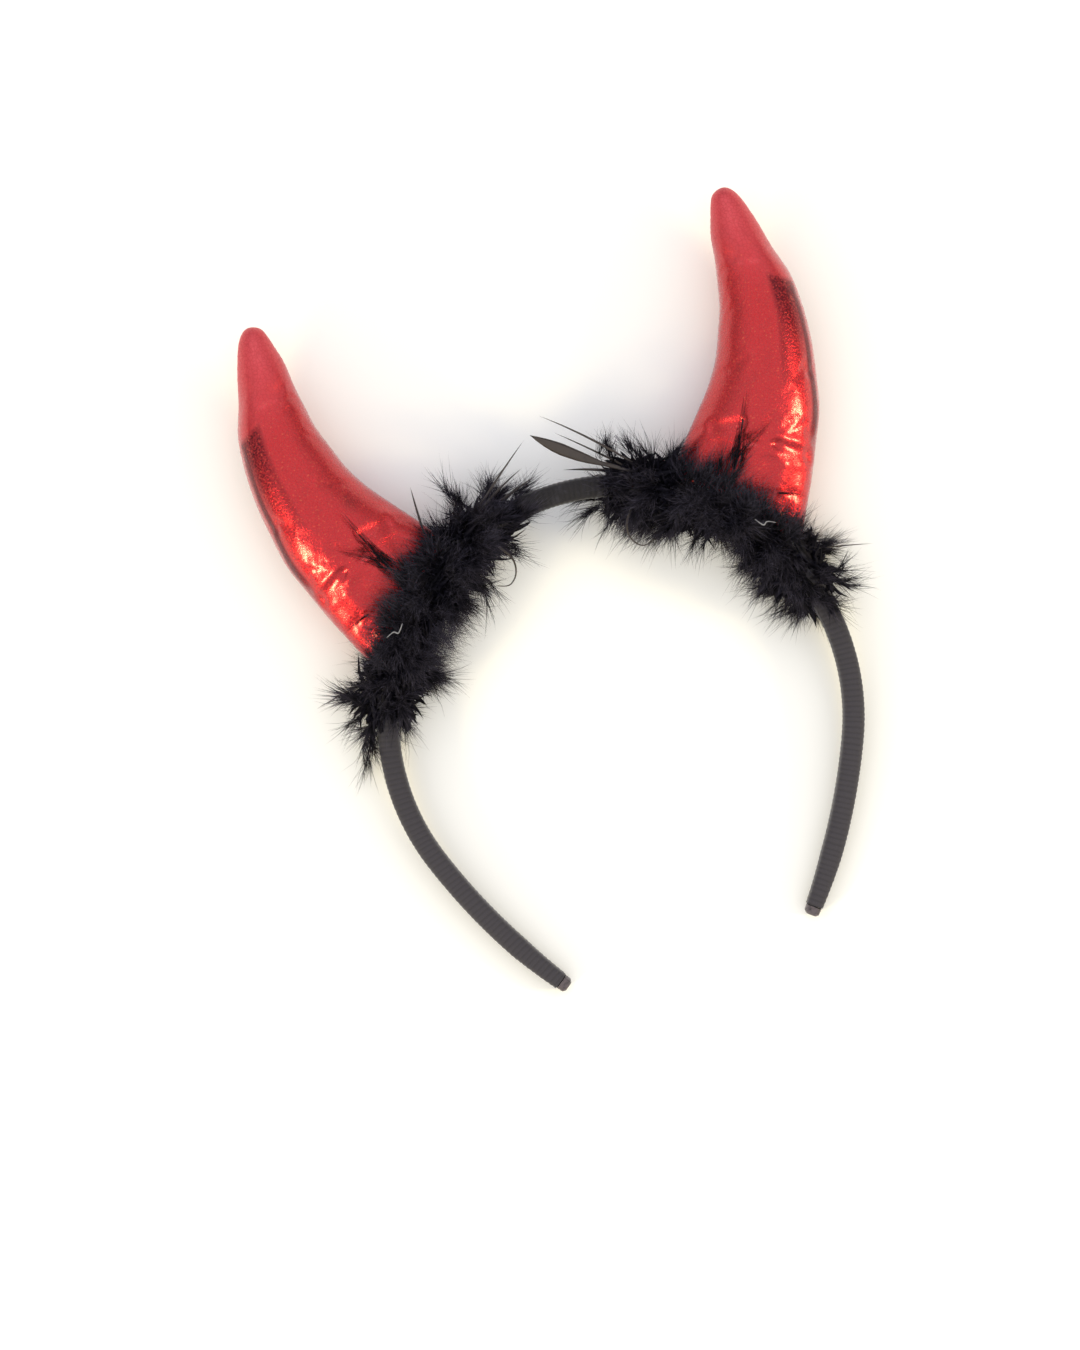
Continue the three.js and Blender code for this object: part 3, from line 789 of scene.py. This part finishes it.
def quill_material(settings, name, light):
    made, tree, surface = new_material(name)
    tone, _ = mottled(tree, light, settings.down, 420.0, 0.3)
    feed(tree, surface, {"Base Color": tone, "Roughness": 0.42})
    relief(tree, surface, grain(tree, 2600.0, 1.2), 0.3, 0.00006)
    return made


def floor_material(settings):
    made, tree, surface = new_material("studio_floor")
    feed(tree, surface, {"Base Color": settings.floor, "Roughness": 0.85, "Specular IOR Level": 0.1})
    return made


# Horn surface


def horn_axes():
    """Place of the right horn on the band's middle line, and the directions outwards and down the band."""
    centre, out = band_station(np.array(HORN_PLACE))
    return centre, out, np.array([out[1], -out[0], 0.0])


def horn_sections(shares):
    """Middles, directions and half sizes of sections of the right horn."""
    row = smooth_rows(HORN_SECTIONS, shares)
    centre, out, down = horn_axes()
    height = HORN_BASE + row["rise"] * HORN_RISE
    into_tip = np.clip((shares - TIP_START) / (1 - TIP_START), 0, 1)
    turn = np.radians(row["turn"] + TIP_TURN * into_tip**2)[:, None]
    for size in ("width", "depth"):
        round_off = HORN_SECTIONS[-2][size] * (1 - TIP_TAPER * into_tip) * np.sqrt(1 - into_tip**2)
        row[size] = np.where(into_tip > 0, round_off, row[size])
    return {
        "rise": row["rise"],
        "middle": centre + np.outer(height, out) - np.outer(row["lean"] * HORN_LEAN, down),
        "across": np.cos(turn) * down + np.sin(turn) * out,
        "half_width": row["width"] * HORN_WIDTH / 2,
        "half_depth": row["depth"] * HORN_DEPTH / 2,
    }


def horn_grid(shares, angles, shrink=1.0):
    """Points of the stuffed horn at shares of its length and angles round it, and its own coordinates."""
    section = horn_sections(shares)
    across = np.cos(angles)[None, :]
    face = (np.sign(np.sin(angles)) * np.abs(np.sin(angles)) ** FACE_FULLNESS)[None, :]
    wide = (section["half_width"] * shrink)[:, None]
    deep = (section["half_depth"] * shrink)[:, None]
    points = section["middle"][:, None] + section["across"][:, None] * (across * wide)[..., None]
    points[..., 2] += face * deep
    columns = (section["rise"][:, None], across, section["half_width"][:, None])
    return points, *(np.broadcast_to(column, points.shape[:2]) for column in columns)


def grid_normals(points):
    """Outward directions of a grid whose columns run round the horn."""
    along = np.gradient(points, axis=0)
    around = (np.roll(points, -1, 1) - np.roll(points, 1, 1)) / 2
    return unit(np.cross(around, along))


def horn_profile(rise):
    """Lean, half width and half depth of the right horn at places up it."""
    rows = smooth_rows(HORN_SECTIONS, np.linspace(0, 1, PROFILE_STEPS))
    sizes = {"lean": HORN_LEAN, "width": HORN_WIDTH / 2, "depth": HORN_DEPTH / 2}
    return [np.interp(rise, rows["rise"], rows[name]) * size for name, size in sizes.items()]


def on_horn(points):
    """Places of points in the right horn's own coordinates, rise and across, and its half depth there."""
    centre, out, down = horn_axes()
    offset = points - centre
    rise = (offset @ out - HORN_BASE) / HORN_RISE
    lean, wide, deep = horn_profile(rise)
    return rise, (offset @ down + lean) / wide, deep


def horn_face(across, rise, lift):
    """Points on the front of the right horn at across and rise, lifted off it."""
    centre, out, down = horn_axes()
    lean, wide, deep = horn_profile(rise)
    height = HORN_BASE + rise * HORN_RISE
    points = centre + height[..., None] * out + (across * wide - lean)[..., None] * down
    points[..., 2] = deep * np.sqrt(np.maximum(1 - across**2, 0)) + lift
    return points


def crease_depth(rise, across, half_width):
    """How far the creases press in at places of the horn's faces."""
    x, y = across * half_width, rise * HORN_RISE
    pressed = np.zeros_like(x)
    for crease in HORN_CREASES:
        ax, ay = crease["across"] * half_width, crease["rise"] * HORN_RISE
        bx, by = crease["to_across"] * half_width, crease["to_rise"] * HORN_RISE
        run = (bx - ax) ** 2 + (by - ay) ** 2
        part = np.clip(((x - ax) * (bx - ax) + (y - ay) * (by - ay)) / run, 0, 1)
        away = np.hypot(x - ax - part * (bx - ax), y - ay - part * (by - ay)) / crease["broad"]
        pressed += crease["deep"] * (np.exp(-(away**2)) - 0.3 * np.exp(-((away - 1.7) ** 2) * 1.6))
    return pressed


def refine(grid, times):
    """Grid with more rows and columns, smooth between the old ones. Columns close round."""
    rows, columns, _ = grid.shape

    def smooth(values, places, closed):
        start = np.floor(places).astype(int)
        near = [start + step for step in (-1, 0, 1, 2)]
        near = [index % len(values) if closed else np.clip(index, 0, len(values) - 1) for index in near]
        return between((places - start)[:, None, None], *[values[index] for index in near])

    finer = smooth(grid, np.linspace(0, rows - 1, (rows - 1) * times + 1), False)
    finer = smooth(finer.transpose(1, 0, 2), np.arange(columns * times) / times, True)
    return finer.transpose(1, 0, 2)


def sew_cloth(grid):
    """The horn's cloth, with its seams, foot and tip in the group that is held still."""
    rows, columns, _ = grid.shape
    points, faces = skin(grid)
    faces = turned_outwards(points, faces)
    mesh = bpy.data.meshes.new("horn_cloth")
    mesh.from_pydata((points * MM * CLOTH_SCALE).tolist(), [], [f for part in faces for f in part.tolist()])
    cloth = add_object("horn_cloth", mesh)
    index = np.arange(rows * columns).reshape(rows, columns)
    seams = [index[:, 0], index[:, columns // 2], index[:3].ravel(), index[-TIP_ROWS:].ravel()]
    middles = [rows * columns, rows * columns + 1]
    held = cloth.vertex_groups.new(name="seams")
    held.add(np.unique(np.concatenate(seams)).tolist() + middles, 1.0, "REPLACE")
    return cloth


def stuff_cloth(cloth, settings):
    """Points of the cloth after its stuffing has blown it up."""
    modifier = cloth.modifiers.new("stuffing", "CLOTH")
    fabric = modifier.settings
    for name, value in CLOTH.items():
        setattr(fabric, name, value)
    fabric.vertex_group_mass = "seams"
    fabric.shrink_min = -settings.slack
    fabric.use_pressure = True
    fabric.uniform_pressure_force = CLOTH_PRESSURE * settings.fill
    fabric.effector_weights.gravity = 0
    modifier.collision_settings.use_collision = False
    scene = bpy.context.scene
    for step in range(1, CLOTH_FRAMES + 1):
        scene.frame_set(step)
    seen = cloth.evaluated_get(bpy.context.evaluated_depsgraph_get())
    moved = np.zeros(len(seen.data.vertices) * 3, np.float32)
    seen.data.vertices.foreach_get("co", moved)
    scene.frame_set(1)
    return moved.reshape(-1, 3).astype(float) / (MM * CLOTH_SCALE)


def puff(grid, settings):
    """Grid of the horn's skin, moved as its stuffing moves the cloth between the seams."""
    rows, columns, _ = grid.shape
    cloth = sew_cloth(grid)
    moved = stuff_cloth(cloth, settings)[: rows * columns]
    bpy.data.objects.remove(cloth)
    shift = moved.reshape(grid.shape) - grid
    far = np.linalg.norm(shift, axis=-1, keepdims=True)
    ease = read_off(CLOTH_EASE, "share", np.arange(rows)[:, None, None] / rows)
    off_seam = np.abs(np.sin(2 * np.pi * np.arange(columns) / columns))[None, :, None]
    return grid + shift * ease * off_seam * np.minimum(1, CLOTH_CAP / np.maximum(far, 1e-6))


def horn_foot(ring):
    """Rings that close the horn's foot along the band's outer side, from the middle out to ring."""
    centre, out, down = horn_axes()
    outer = CROWN_RADIUS + HORN_BASE
    rings = []
    for part in FOOT_RINGS:
        offset = (ring - centre) * part
        run = offset @ down
        height = np.sqrt(outer**2 - run**2) - CROWN_RADIUS
        points = centre + run[:, None] * down + height[:, None] * out
        points[:, 2] = ring[:, 2] * part
        rings.append(points)
    return np.stack(rings)


def press_seams(pressed, grid, angles, half_width, pucker):
    """Depths with the puckers and the groove of both seams added."""
    draws = np.random.default_rng(SEAM_SEED)
    run = np.cumsum(np.linalg.norm(np.diff(grid[:, 0], axis=0, prepend=grid[:1, 0]), axis=-1))
    for edge, phase in SEAMS:
        away = np.abs((np.abs(angles) - edge + np.pi) % (2 * np.pi) - np.pi)[None, :] * half_width
        wander = np.interp(run, np.linspace(0, run[-1], SEAM_WANDERS), draws.normal(0, 1, SEAM_WANDERS))
        stitch = 0.5 + 0.5 * np.sin(2 * np.pi * run / STITCH + wander + phase)
        gather = (stitch * (0.6 + 0.4 * np.sin(2 * np.pi * run / LONG_WAVE + phase)))[:, None]
        pressed = pressed + pucker * gather * np.exp(-((away / PUCKER_REACH) ** 2))
        pressed = pressed + GROOVE_DEPTH * np.exp(-((away / GROOVE_REACH) ** 2))
    return pressed


def horn_surface(settings):
    """Points, faces and marks of the right horn."""
    into_tip = np.sin(np.radians(np.linspace(0, TIP_ARC, TIP_ROWS + 1)))[1:]
    shares = np.append(np.linspace(HORN_START, TIP_START, HORN_ROWS), TIP_START + (1 - TIP_START) * into_tip)
    angles = -2 * np.pi * np.arange(HORN_COLUMNS) / HORN_COLUMNS
    grid, *_ = horn_grid(shares, angles, HORN_INSET)
    grid = puff(grid, settings)
    grid = refine(grid, HORN_FINER)
    rows, columns, _ = grid.shape
    shares = np.interp(np.linspace(0, 1, rows), np.linspace(0, 1, len(shares)), shares)
    angles = -2 * np.pi * np.arange(columns) / columns
    _, rise, across, half_width = horn_grid(shares, angles)
    pressed = crease_depth(rise, across, half_width) * np.abs(np.sin(angles))[None, :] ** 0.5
    pressed = press_seams(pressed, grid, angles, half_width, settings.pucker / MM)
    ease = np.clip((TIP_START - shares) / CREASE_EASE, 0, 1)[:, None]
    grid = grid - grid_normals(grid) * (pressed * ease)[..., None]
    grid = clear_of_floor(grid, 0.0, bend=0.8)
    foot = horn_foot(grid[0])
    points, faces = skin(np.concatenate([foot, grid]))
    under = np.zeros(foot.shape[0] * columns)
    marks = [
        ("rise", np.concatenate([under, rise.ravel(), [0.0, 1.0]])),
        ("across", np.concatenate([under, across.ravel(), [0.0, 0.0]])),
    ]
    return points, faces, marks


# Feathers


def clear_of_horn(points, lift):
    """Moves points that lie in the right horn out to its faces, and by lift off them."""
    rise, across, deep = on_horn(points)
    low, high = HORN_BODY
    inside = (rise > low) & (rise < high) & (np.abs(across) < 1)
    surface = deep * np.sqrt(np.maximum(1 - across**2, 0)) + OVER_HORN + lift
    side = np.where(points[..., 2] < 0, -1.0, 1.0)
    moved = points.copy()
    moved[..., 2] = np.where(inside, side * np.maximum(np.abs(points[..., 2]), surface), points[..., 2])
    return moved


def clear_of_floor(points, lift, bend=2.2):
    """Bends points that reach below the floor along it, from bend above it."""
    placed = seat(points)
    low = MM * (OVER_FLOOR + lift)
    soft = bend * MM
    height = placed[..., 2]
    raised = low + soft * np.exp(np.minimum(height - low - soft, 0) / soft)
    placed[..., 2] = np.where(height < low + soft, raised, height)
    return unseat(placed)


def around_band(side, along, facing):
    """How far the feathers reach at places along the band and directions round it."""
    reach_in = read_off(FEATHER_REACH, "in_" + side, along)
    reach_out = read_off(FEATHER_REACH, "out", along)
    sideways = np.where(np.cos(facing) > 0, reach_out, reach_in)
    return 1 / np.hypot(np.cos(facing) / sideways, np.sin(facing) / read_off(FEATHER_REACH, "up", along))


def off_the_horn(along, facing):
    """Directions round the band, turned away from the horn that stands on it."""
    start, end = SHUT_STRETCH
    shut = (along > start) & (along < end) & (np.abs(facing) < SHUT_ANGLE)
    return np.where(shut, np.pi - facing * SHUT_TURN, facing)


def strewn(low, high, count, draws):
    """Places spread evenly from low to high, in a random order."""
    return low + (draws.permutation(count) + draws.uniform(0, 1, count)) / count * (high - low)


def band_plumes(settings, side, draws):
    """Roots, knees and ends of the stems that stand round the band, gathered into locks."""
    count, locks = settings.plumes, settings.locks
    lock_along = strewn(*LOCK_STRETCH, locks, draws)
    lock_facing = off_the_horn(lock_along, draws.uniform(-np.pi, np.pi, locks))
    reach = around_band(side, lock_along, lock_facing)
    reach = reach * draws.uniform(0.92, 1.16, locks) + draws.uniform(0, 1, locks) ** 4 * 4.0
    sweep = read_off(LOCK_SWEEP, "shift", lock_along) + draws.normal(0, 3.6, locks)
    stem_reach = np.maximum(reach - settings.barb / MM * 0.6, 5.0)
    turned = lock_facing + draws.normal(0, 0.25, locks)
    lock_end = beside_band(lock_along + sweep * 0.7, stem_reach * np.cos(turned), stem_reach * np.sin(turned))

    lock = np.arange(count) % locks
    along = lock_along[lock] + draws.normal(0, 1.5, count)
    facing = lock_facing[lock] + draws.normal(0, 0.3, count)
    root_reach = np.minimum(4.6, stem_reach[lock] - 0.5)
    root = beside_band(along, root_reach * np.cos(facing), root_reach * 1.15 * np.sin(facing))
    end = lock_end[lock] + draws.normal(0, 0.9, (count, 3))
    end = root + (end - root) * draws.uniform(0.65, 1.0, (count, 1))
    knee = (root + end) / 2 + draws.normal(0, 1.0, (count, 3))
    return root, knee, end


def foot_plumes(settings, draws):
    """Roots, knees and ends of the stems that lie against the horn's faces round its foot."""
    count = settings.foot_plumes
    across = strewn(-1.02, 1.02, count, draws)
    face = np.where(draws.uniform(0, 1, count) < 0.68, 1.0, -1.0)
    along = HORN_PLACE + across * HORN_WIDTH / 2
    cover = read_off(HORN_COVER, "reach", along) * draws.uniform(0.55, 1.0, count)
    low = draws.uniform(-0.09, 0.0, count)
    high = (cover - HORN_BASE - settings.barb / MM * 0.6) / HORN_RISE
    root = horn_face(across, low, draws.uniform(0.2, 2.0, count))
    end = horn_face(
        np.clip(across + draws.normal(0, 0.08, count), -1.1, 1.1),
        np.maximum(high, low + 0.02),
        draws.uniform(1.0, 4.5, count),
    )
    knee = (root + end) / 2
    knee[:, 2] += draws.uniform(0.2, 2.0, count)
    for points in (root, knee, end):
        points[:, 2] *= face
    return root, knee, end


def plume_barbs(settings, side, draws):
    """Curves and half thicknesses of all barbs of one trim, made for the right side."""
    stems = zip(band_plumes(settings, side, draws), foot_plumes(settings, draws))
    root, knee, end = [np.concatenate(pair)[:, None] for pair in stems]
    count, each = len(root), settings.barbs
    heading = unit(end - knee)

    place = np.sqrt(draws.uniform(0.0, 1.0, (count, each)))[..., None]
    start = bent(root, knee, end, place)
    tangent = unit(2 * (1 - place) * (knee - root) + 2 * place * (end - knee))
    scatter = draws.normal(0, 1, (count, each, 3))
    scatter = unit(scatter - (scatter * tangent).sum(-1, keepdims=True) * tangent)
    opening = (0.95 - 0.6 * place) * draws.uniform(0.5, 1.2, (count, each, 1))
    opening = opening * draws.uniform(0.45, 1.15, (count, 1, 1))
    leave = unit(tangent + scatter * opening)
    gather = unit(heading + scatter * 0.2 + draws.normal(0, 0.2, (count, each, 3)))
    size = settings.barb / MM * (0.5 + 0.85 * draws.uniform(0, 1, (count, each, 1)) ** 2)
    size = size * (1.0 - 0.2 * place) * draws.uniform(0.7, 1.35, (count, 1, 1))
    curl = draws.normal(0, 0.14, (count, each, 3))

    steps = BARB_STEPS[:, None]
    leave, gather, curl, size, start = [part[:, :, None] for part in (leave, gather, curl, size, start)]
    curve = start + size * (leave * steps + (gather - leave) * 0.55 * steps**2 + curl * steps**2)
    curve = curve.reshape(count * each, len(BARB_STEPS), 3)
    lift = draws.uniform(0, 1.6, (count * each, 1))
    curve = clear_of_floor(clear_of_horn(curve, lift), lift * 0.3)
    thin = settings.fineness / MM * draws.uniform(0.7, 1.2, (count * each, 1))
    return curve, thin * BARB_TAPER


def under_webs(settings, side, draws):
    """Curves, half breadths and half thicknesses of the broad webs that close the trim under its down."""
    count = settings.webs
    along = strewn(*WEB_STRETCH, count, draws)
    facing = off_the_horn(along, draws.uniform(-np.pi, np.pi, count))
    short = read_off(WEB_LENGTH, "share", along) * draws.uniform(0.48, 0.74, count)
    reach = short * around_band(side, along, facing)
    root = beside_band(along, 4.4 * np.cos(facing), 5.2 * np.sin(facing))
    end = beside_band(along + draws.normal(0, 4.5, count), reach * np.cos(facing), reach * np.sin(facing))
    knee = (root + end) / 2 + draws.normal(0, 1.5, (count, 3))
    curve = bent(root[:, None], knee[:, None], end[:, None], BARB_STEPS[:, None])
    curve = clear_of_floor(clear_of_horn(curve, 0.0), 0.1)
    broad = draws.uniform(0.5, 1.0, (count, 1)) * WEB_TAPER
    return curve, broad, np.full_like(broad, WEB_THICKNESS)


def pale_fluff(draws):
    """Curves and half thicknesses of the thin grey fluff in the left trim's notch."""
    along = draws.normal(FLUFF_PLACE, FLUFF_SPREAD, FLUFF_COUNT)
    out = -draws.uniform(6, 13.0, FLUFF_COUNT)
    start = beside_band(along, out, draws.uniform(-3, 8, FLUFF_COUNT))
    heading = beside_band(along, out - 4, np.zeros(FLUFF_COUNT)) - start
    heading = unit(heading + draws.normal(0, 3.4, (FLUFF_COUNT, 3)))[:, None]
    size = draws.uniform(3.0, 8.0, (FLUFF_COUNT, 1, 1))
    steps = BARB_STEPS[:, None]
    curve = start[:, None] + size * (heading * steps + draws.normal(0, 0.3, (FLUFF_COUNT, 1, 3)) * steps**2)
    return clear_of_floor(curve, 0.1), np.full((FLUFF_COUNT, 1), FLUFF_FINENESS) * BARB_TAPER


def stem_curve(places, steps):
    """Smooth curve through places given along the band, out from its middle line and up."""
    rows = [dict(zip("xyz", beside_band(*place))) for place in places]
    found = smooth_rows(rows, np.linspace(0, 1, steps))
    return np.stack([found[axis] for axis in "xyz"], -1)[None]


def quill_curves(rows, steps=14):
    """Curves, half breadths and half thicknesses of a trim's long quills."""
    curves, broad, thick = [], [], []
    part = np.linspace(0, 1, steps)
    for row in rows:
        root = beside_band(row["along"], row["out"], row["up"])
        end = beside_band(row["to_along"], row["to_out"], row["to_up"])
        _, out = band_station(row["along"])
        knee = (root + end) / 2 + out * row["bow"]
        curves.append(bent(root, knee, end, part[:, None]))
        taper = VANE_TAPER if row["gloss"] else QUILL_TAPER
        broad.append(row["broad"] * read_off(taper, "broad", part))
        thick.append(row["thick"] * read_off(QUILL_THINNING, "thick", part))
    return np.stack(curves), np.stack(broad), np.stack(thick)


def stray_barbs(settings):
    """Curves and half thicknesses of the barbs that lie over the horn's front."""
    draws = np.random.default_rng(settings.seed)
    part = np.linspace(0, 1, 9)
    curves = []
    for row in HORN_BARBS:
        for _ in range(STRAY_EACH):
            start, shift, reach = draws.normal(0, 0.05), draws.normal(0, 0.04), draws.uniform(0.6, 1.0)
            drift = row["to_across"] - row["across"] + shift - start
            across = row["across"] + start + drift * part**1.3 * reach
            rise = row["rise"] + (row["to_rise"] - row["rise"]) * part * reach
            curves.append(horn_face(across, rise, 1.7 + draws.uniform(0, 1.2) * np.sin(part * np.pi)))
    return np.stack(curves), np.repeat(0.11 * (1 - part)[None] ** 0.6, len(curves), 0)


def mirror(points, side):
    """Points made for the right side, put on a side of the object."""
    return points * np.array([SIDES[side], 1.0, 1.0])


def make_strands(name, side, material, shape, sides=3, reach=None):
    """One piece of feather strands on a side. reach is its mark at the strands' roots and tips."""
    points, faces, along = strands(*shape, sides=sides)
    marks = [("reach", reach[0] + (reach[1] - reach[0]) * along)] if reach else ()
    return make_piece(name, mirror(points, side), faces, material, marks)


# Stage


def add_floor(settings):
    mesh = bpy.data.meshes.new("floor")
    corners = [(x * FLOOR_HALF, y * FLOOR_HALF, 0) for x, y in ((-1, -1), (1, -1), (1, 1), (-1, 1))]
    mesh.from_pydata(corners, [], [(0, 1, 2, 3)])
    mesh.materials.append(floor_material(settings))
    floor = add_object("floor", mesh)


def add_camera(settings):
    """Camera that looks straight down, turned by the object's lean."""
    lens = bpy.data.cameras.new("camera")
    lens.sensor_width = SENSOR
    lens.lens = SENSOR * settings.distance / settings.view_height
    lens.clip_start = 0.01
    camera = add_object("camera", lens)
    camera.location = Vector(CAMERA_AIM) + Vector((0, 0, settings.distance))
    camera.rotation_euler = (0, 0, -settings.lean)
    bpy.context.scene.camera = camera


def add_light(name, place, size, power, tint=(1, 1, 1)):
    """Rectangular light that points at the object."""
    lamp = bpy.data.lights.new(name, "AREA")
    lamp.shape = "RECTANGLE"
    lamp.size, lamp.size_y = size
    lamp.energy = power
    lamp.color = tint
    made = add_object(name, lamp)
    made.location = place
    made.rotation_euler = Vector(LIGHT_AIM - np.array(place)).to_track_quat("-Z", "Y").to_euler()


def studio_world(settings):
    """White room, brighter overhead. The camera itself sees it as plain white."""
    world = bpy.data.worlds.new("studio")
    world.use_nodes = True
    tree = world.node_tree
    place = add_node(tree, "ShaderNodeTexCoord").outputs["Generated"]
    height = add_node(tree, "ShaderNodeSeparateXYZ", {0: place}).outputs["Z"]
    room = span(tree, height, 0.05, 0.75, settings.walls, settings.ceiling)
    seen = add_node(tree, "ShaderNodeLightPath").outputs["Is Camera Ray"]
    brightness = calculate(tree, "MAXIMUM", room, seen)
    feed(tree, tree.nodes["Background"], {"Strength": brightness, "Color": (1, 1, 1)})
    return world


# Operators


class HEADBAND_OT_core(bpy.types.Operator):
    """Give the plastic strip its finish"""

    bl_idname = "headband.core"
    bl_label = "Plastic strip"

    def execute(self, context):
        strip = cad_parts["band_core"]
        strip.data.materials.clear()
        strip.data.materials.append(plastic_material(context.scene.headband_ribbon))
        return {"FINISHED"}


class HEADBAND_OT_ribbon(bpy.types.Operator):
    """Wind the ribbon round the strip"""

    bl_idname = "headband.ribbon"
    bl_label = "Wound ribbon"

    def execute(self, context):
        settings = context.scene.headband_ribbon
        pitch = settings.pitch / MM
        depth = settings.ridge / MM
        sides = RIBBON_SIDES
        distances = np.linspace(-RIBBON_END, RIBBON_END, int(2 * RIBBON_END / pitch * TURN_SAMPLES))
        wander = 0.16 * np.sin(distances * 0.41) + 0.1 * np.sin(distances * 1.27)
        turn = (distances + wander)[:, None] / pitch + np.arange(sides)[None, :] / sides
        ridge = read_off(RIDGE, "height", turn % 1)
        outer = band_rings(distances, sides, depth * (1 - ridge) - depth * 0.35)
        outer = clear_of_floor(outer, -0.13, bend=0.05)
        inner = band_rings(np.linspace(RIBBON_END, -RIBBON_END, INNER_RINGS), sides, RIBBON_WALL)
        points, faces = skin(np.concatenate([outer, inner]), hollow=True)
        along = np.abs(np.repeat(distances, sides)) / RIBBON_END
        inside = np.zeros(INNER_RINGS * sides)
        marks = [("along", np.append(along, inside)), ("ridge", np.append(ridge.ravel(), inside))]
        made = make_piece("wound_ribbon", points, faces, ribbon_material(settings), marks)
        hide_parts("ribbon_wrap")
        return {"FINISHED"}


class HEADBAND_OT_horns(bpy.types.Operator):
    """Stuff and seam the two horns"""

    bl_idname = "headband.horns"
    bl_label = "Horns"

    def execute(self, context):
        settings = context.scene.headband_horns
        points, faces, marks = horn_surface(settings)
        material = foil_material(settings)
        for side in SIDES:
            placed = mirror(points, side)
            made = make_piece("padded_horn_" + side, placed, faces, material, marks)
            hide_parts("horn_" + side)
        return {"FINISHED"}


class HEADBAND_OT_feathers(bpy.types.Operator):
    """Grow the feather trims round the feet of the horns"""

    bl_idname = "headband.feathers"
    bl_label = "Feather trims"

    def execute(self, context):
        settings = context.scene.headband_feathers
        material = feather_material(settings)
        for turn, side in enumerate(SIDES):
            draws = np.random.default_rng(settings.seed + turn)
            curves, thin = plume_barbs(settings, side, draws)
            webs = under_webs(settings, side, draws)
            made = make_strands("marabou_web_" + side, side, material, webs, sides=4, reach=(0, 0))
            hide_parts("marabou_" + side)
            for layer in range(LAYERS):
                barbs = (curves[layer::LAYERS], thin[layer::LAYERS])
                make_strands(f"marabou_{side}_layer_{layer + 1}", side, material, barbs, reach=(0, 1))
        make_strands("pale_fluff_left", "left", material, pale_fluff(draws), reach=(0.8, 1))
        return {"FINISHED"}


class HEADBAND_OT_quills(bpy.types.Operator):
    """Add the long quills, the bare stems and the barbs that lie over the horns"""

    bl_idname = "headband.quills"
    bl_label = "Quills"

    def execute(self, context):
        settings = context.scene.headband_feathers
        soft = bpy.data.materials["marabou_down"]
        dark = quill_material(settings, "dark_quill", settings.quill)
        pale = quill_material(settings, "pale_stem", settings.stem)
        curled = (stem_curve(CURLED_STEM, CURLED_STEPS), np.linspace(*CURLED_BREADTH, CURLED_STEPS)[None])
        breadth = read_off(PALE_BREADTH, "half", np.arange(PALE_STEPS))[None]
        bare = (stem_curve(PALE_STEM, PALE_STEPS), breadth)
        for side, rows in (("right", QUILLS_RIGHT), ("left", QUILLS_LEFT)):
            make_strands("quills_" + side, side, dark, quill_curves(rows), sides=6)
            make_strands("curled_stem_" + side, side, dark, curled, sides=6)
            make_strands("bare_stem_" + side, side, pale, bare, sides=6)
            make_strands("stray_barbs_" + side, side, soft, stray_barbs(settings))
        return {"FINISHED"}


class HEADBAND_OT_stage(bpy.types.Operator):
    """Set the floor, the lights and the camera"""

    bl_idname = "headband.stage"
    bl_label = "Stage"

    def execute(self, context):
        settings = context.scene.headband_stage
        add_floor(settings)
        add_camera(settings)
        add_light("back_light", BACK_PLACE, BACK_SIZE, settings.back)
        for side in SIDES:
            place = mirror(np.array(SIDE_PLACE), side)
            add_light(side + "_light", place, SIDE_SIZE, settings.side, settings.warmth)
        context.scene.world = studio_world(settings)
        context.scene.view_settings.view_transform = "Standard"
        return {"FINISHED"}


class HEADBAND_PT_panel(bpy.types.Panel):
    """Sizes and colours of the headband, with a button for each of its parts"""

    bl_label = "Headband"
    bl_idname = "HEADBAND_PT_panel"
    bl_space_type = "VIEW_3D"
    bl_region_type = "UI"
    bl_category = "Headband"

    def draw(self, context):
        for operators, name in STEPS:
            box = self.layout.box()
            group = getattr(context.scene, name)
            for key in type(group).__annotations__:
                box.prop(group, key)
            for operator in operators:
                box.operator(operator.bl_idname)


SETTINGS = {
    "headband_ribbon": HeadbandRibbonSettings,
    "headband_horns": HeadbandHornSettings,
    "headband_feathers": HeadbandFeatherSettings,
    "headband_stage": HeadbandStageSettings,
}
STEPS = [
    ((HEADBAND_OT_core, HEADBAND_OT_ribbon), "headband_ribbon"),
    ((HEADBAND_OT_horns,), "headband_horns"),
    ((HEADBAND_OT_feathers, HEADBAND_OT_quills), "headband_feathers"),
    ((HEADBAND_OT_stage,), "headband_stage"),
]
OPERATORS = [operator for operators, _ in STEPS for operator in operators]


def register():
    for kind in (*SETTINGS.values(), *OPERATORS, HEADBAND_PT_panel):
        bpy.utils.register_class(kind)
    for name, kind in SETTINGS.items():
        setattr(bpy.types.Scene, name, PointerProperty(type=kind))


def unregister():
    for name in SETTINGS:
        delattr(bpy.types.Scene, name)
    for kind in reversed((*SETTINGS.values(), *OPERATORS, HEADBAND_PT_panel)):
        bpy.utils.unregister_class(kind)


def main():
    register()
    bpy.ops.headband.core()
    bpy.ops.headband.ribbon()
    bpy.ops.headband.horns()
    bpy.ops.headband.feathers()
    bpy.ops.headband.quills()
    bpy.ops.headband.stage()


if __name__ == "__main__":
    main()
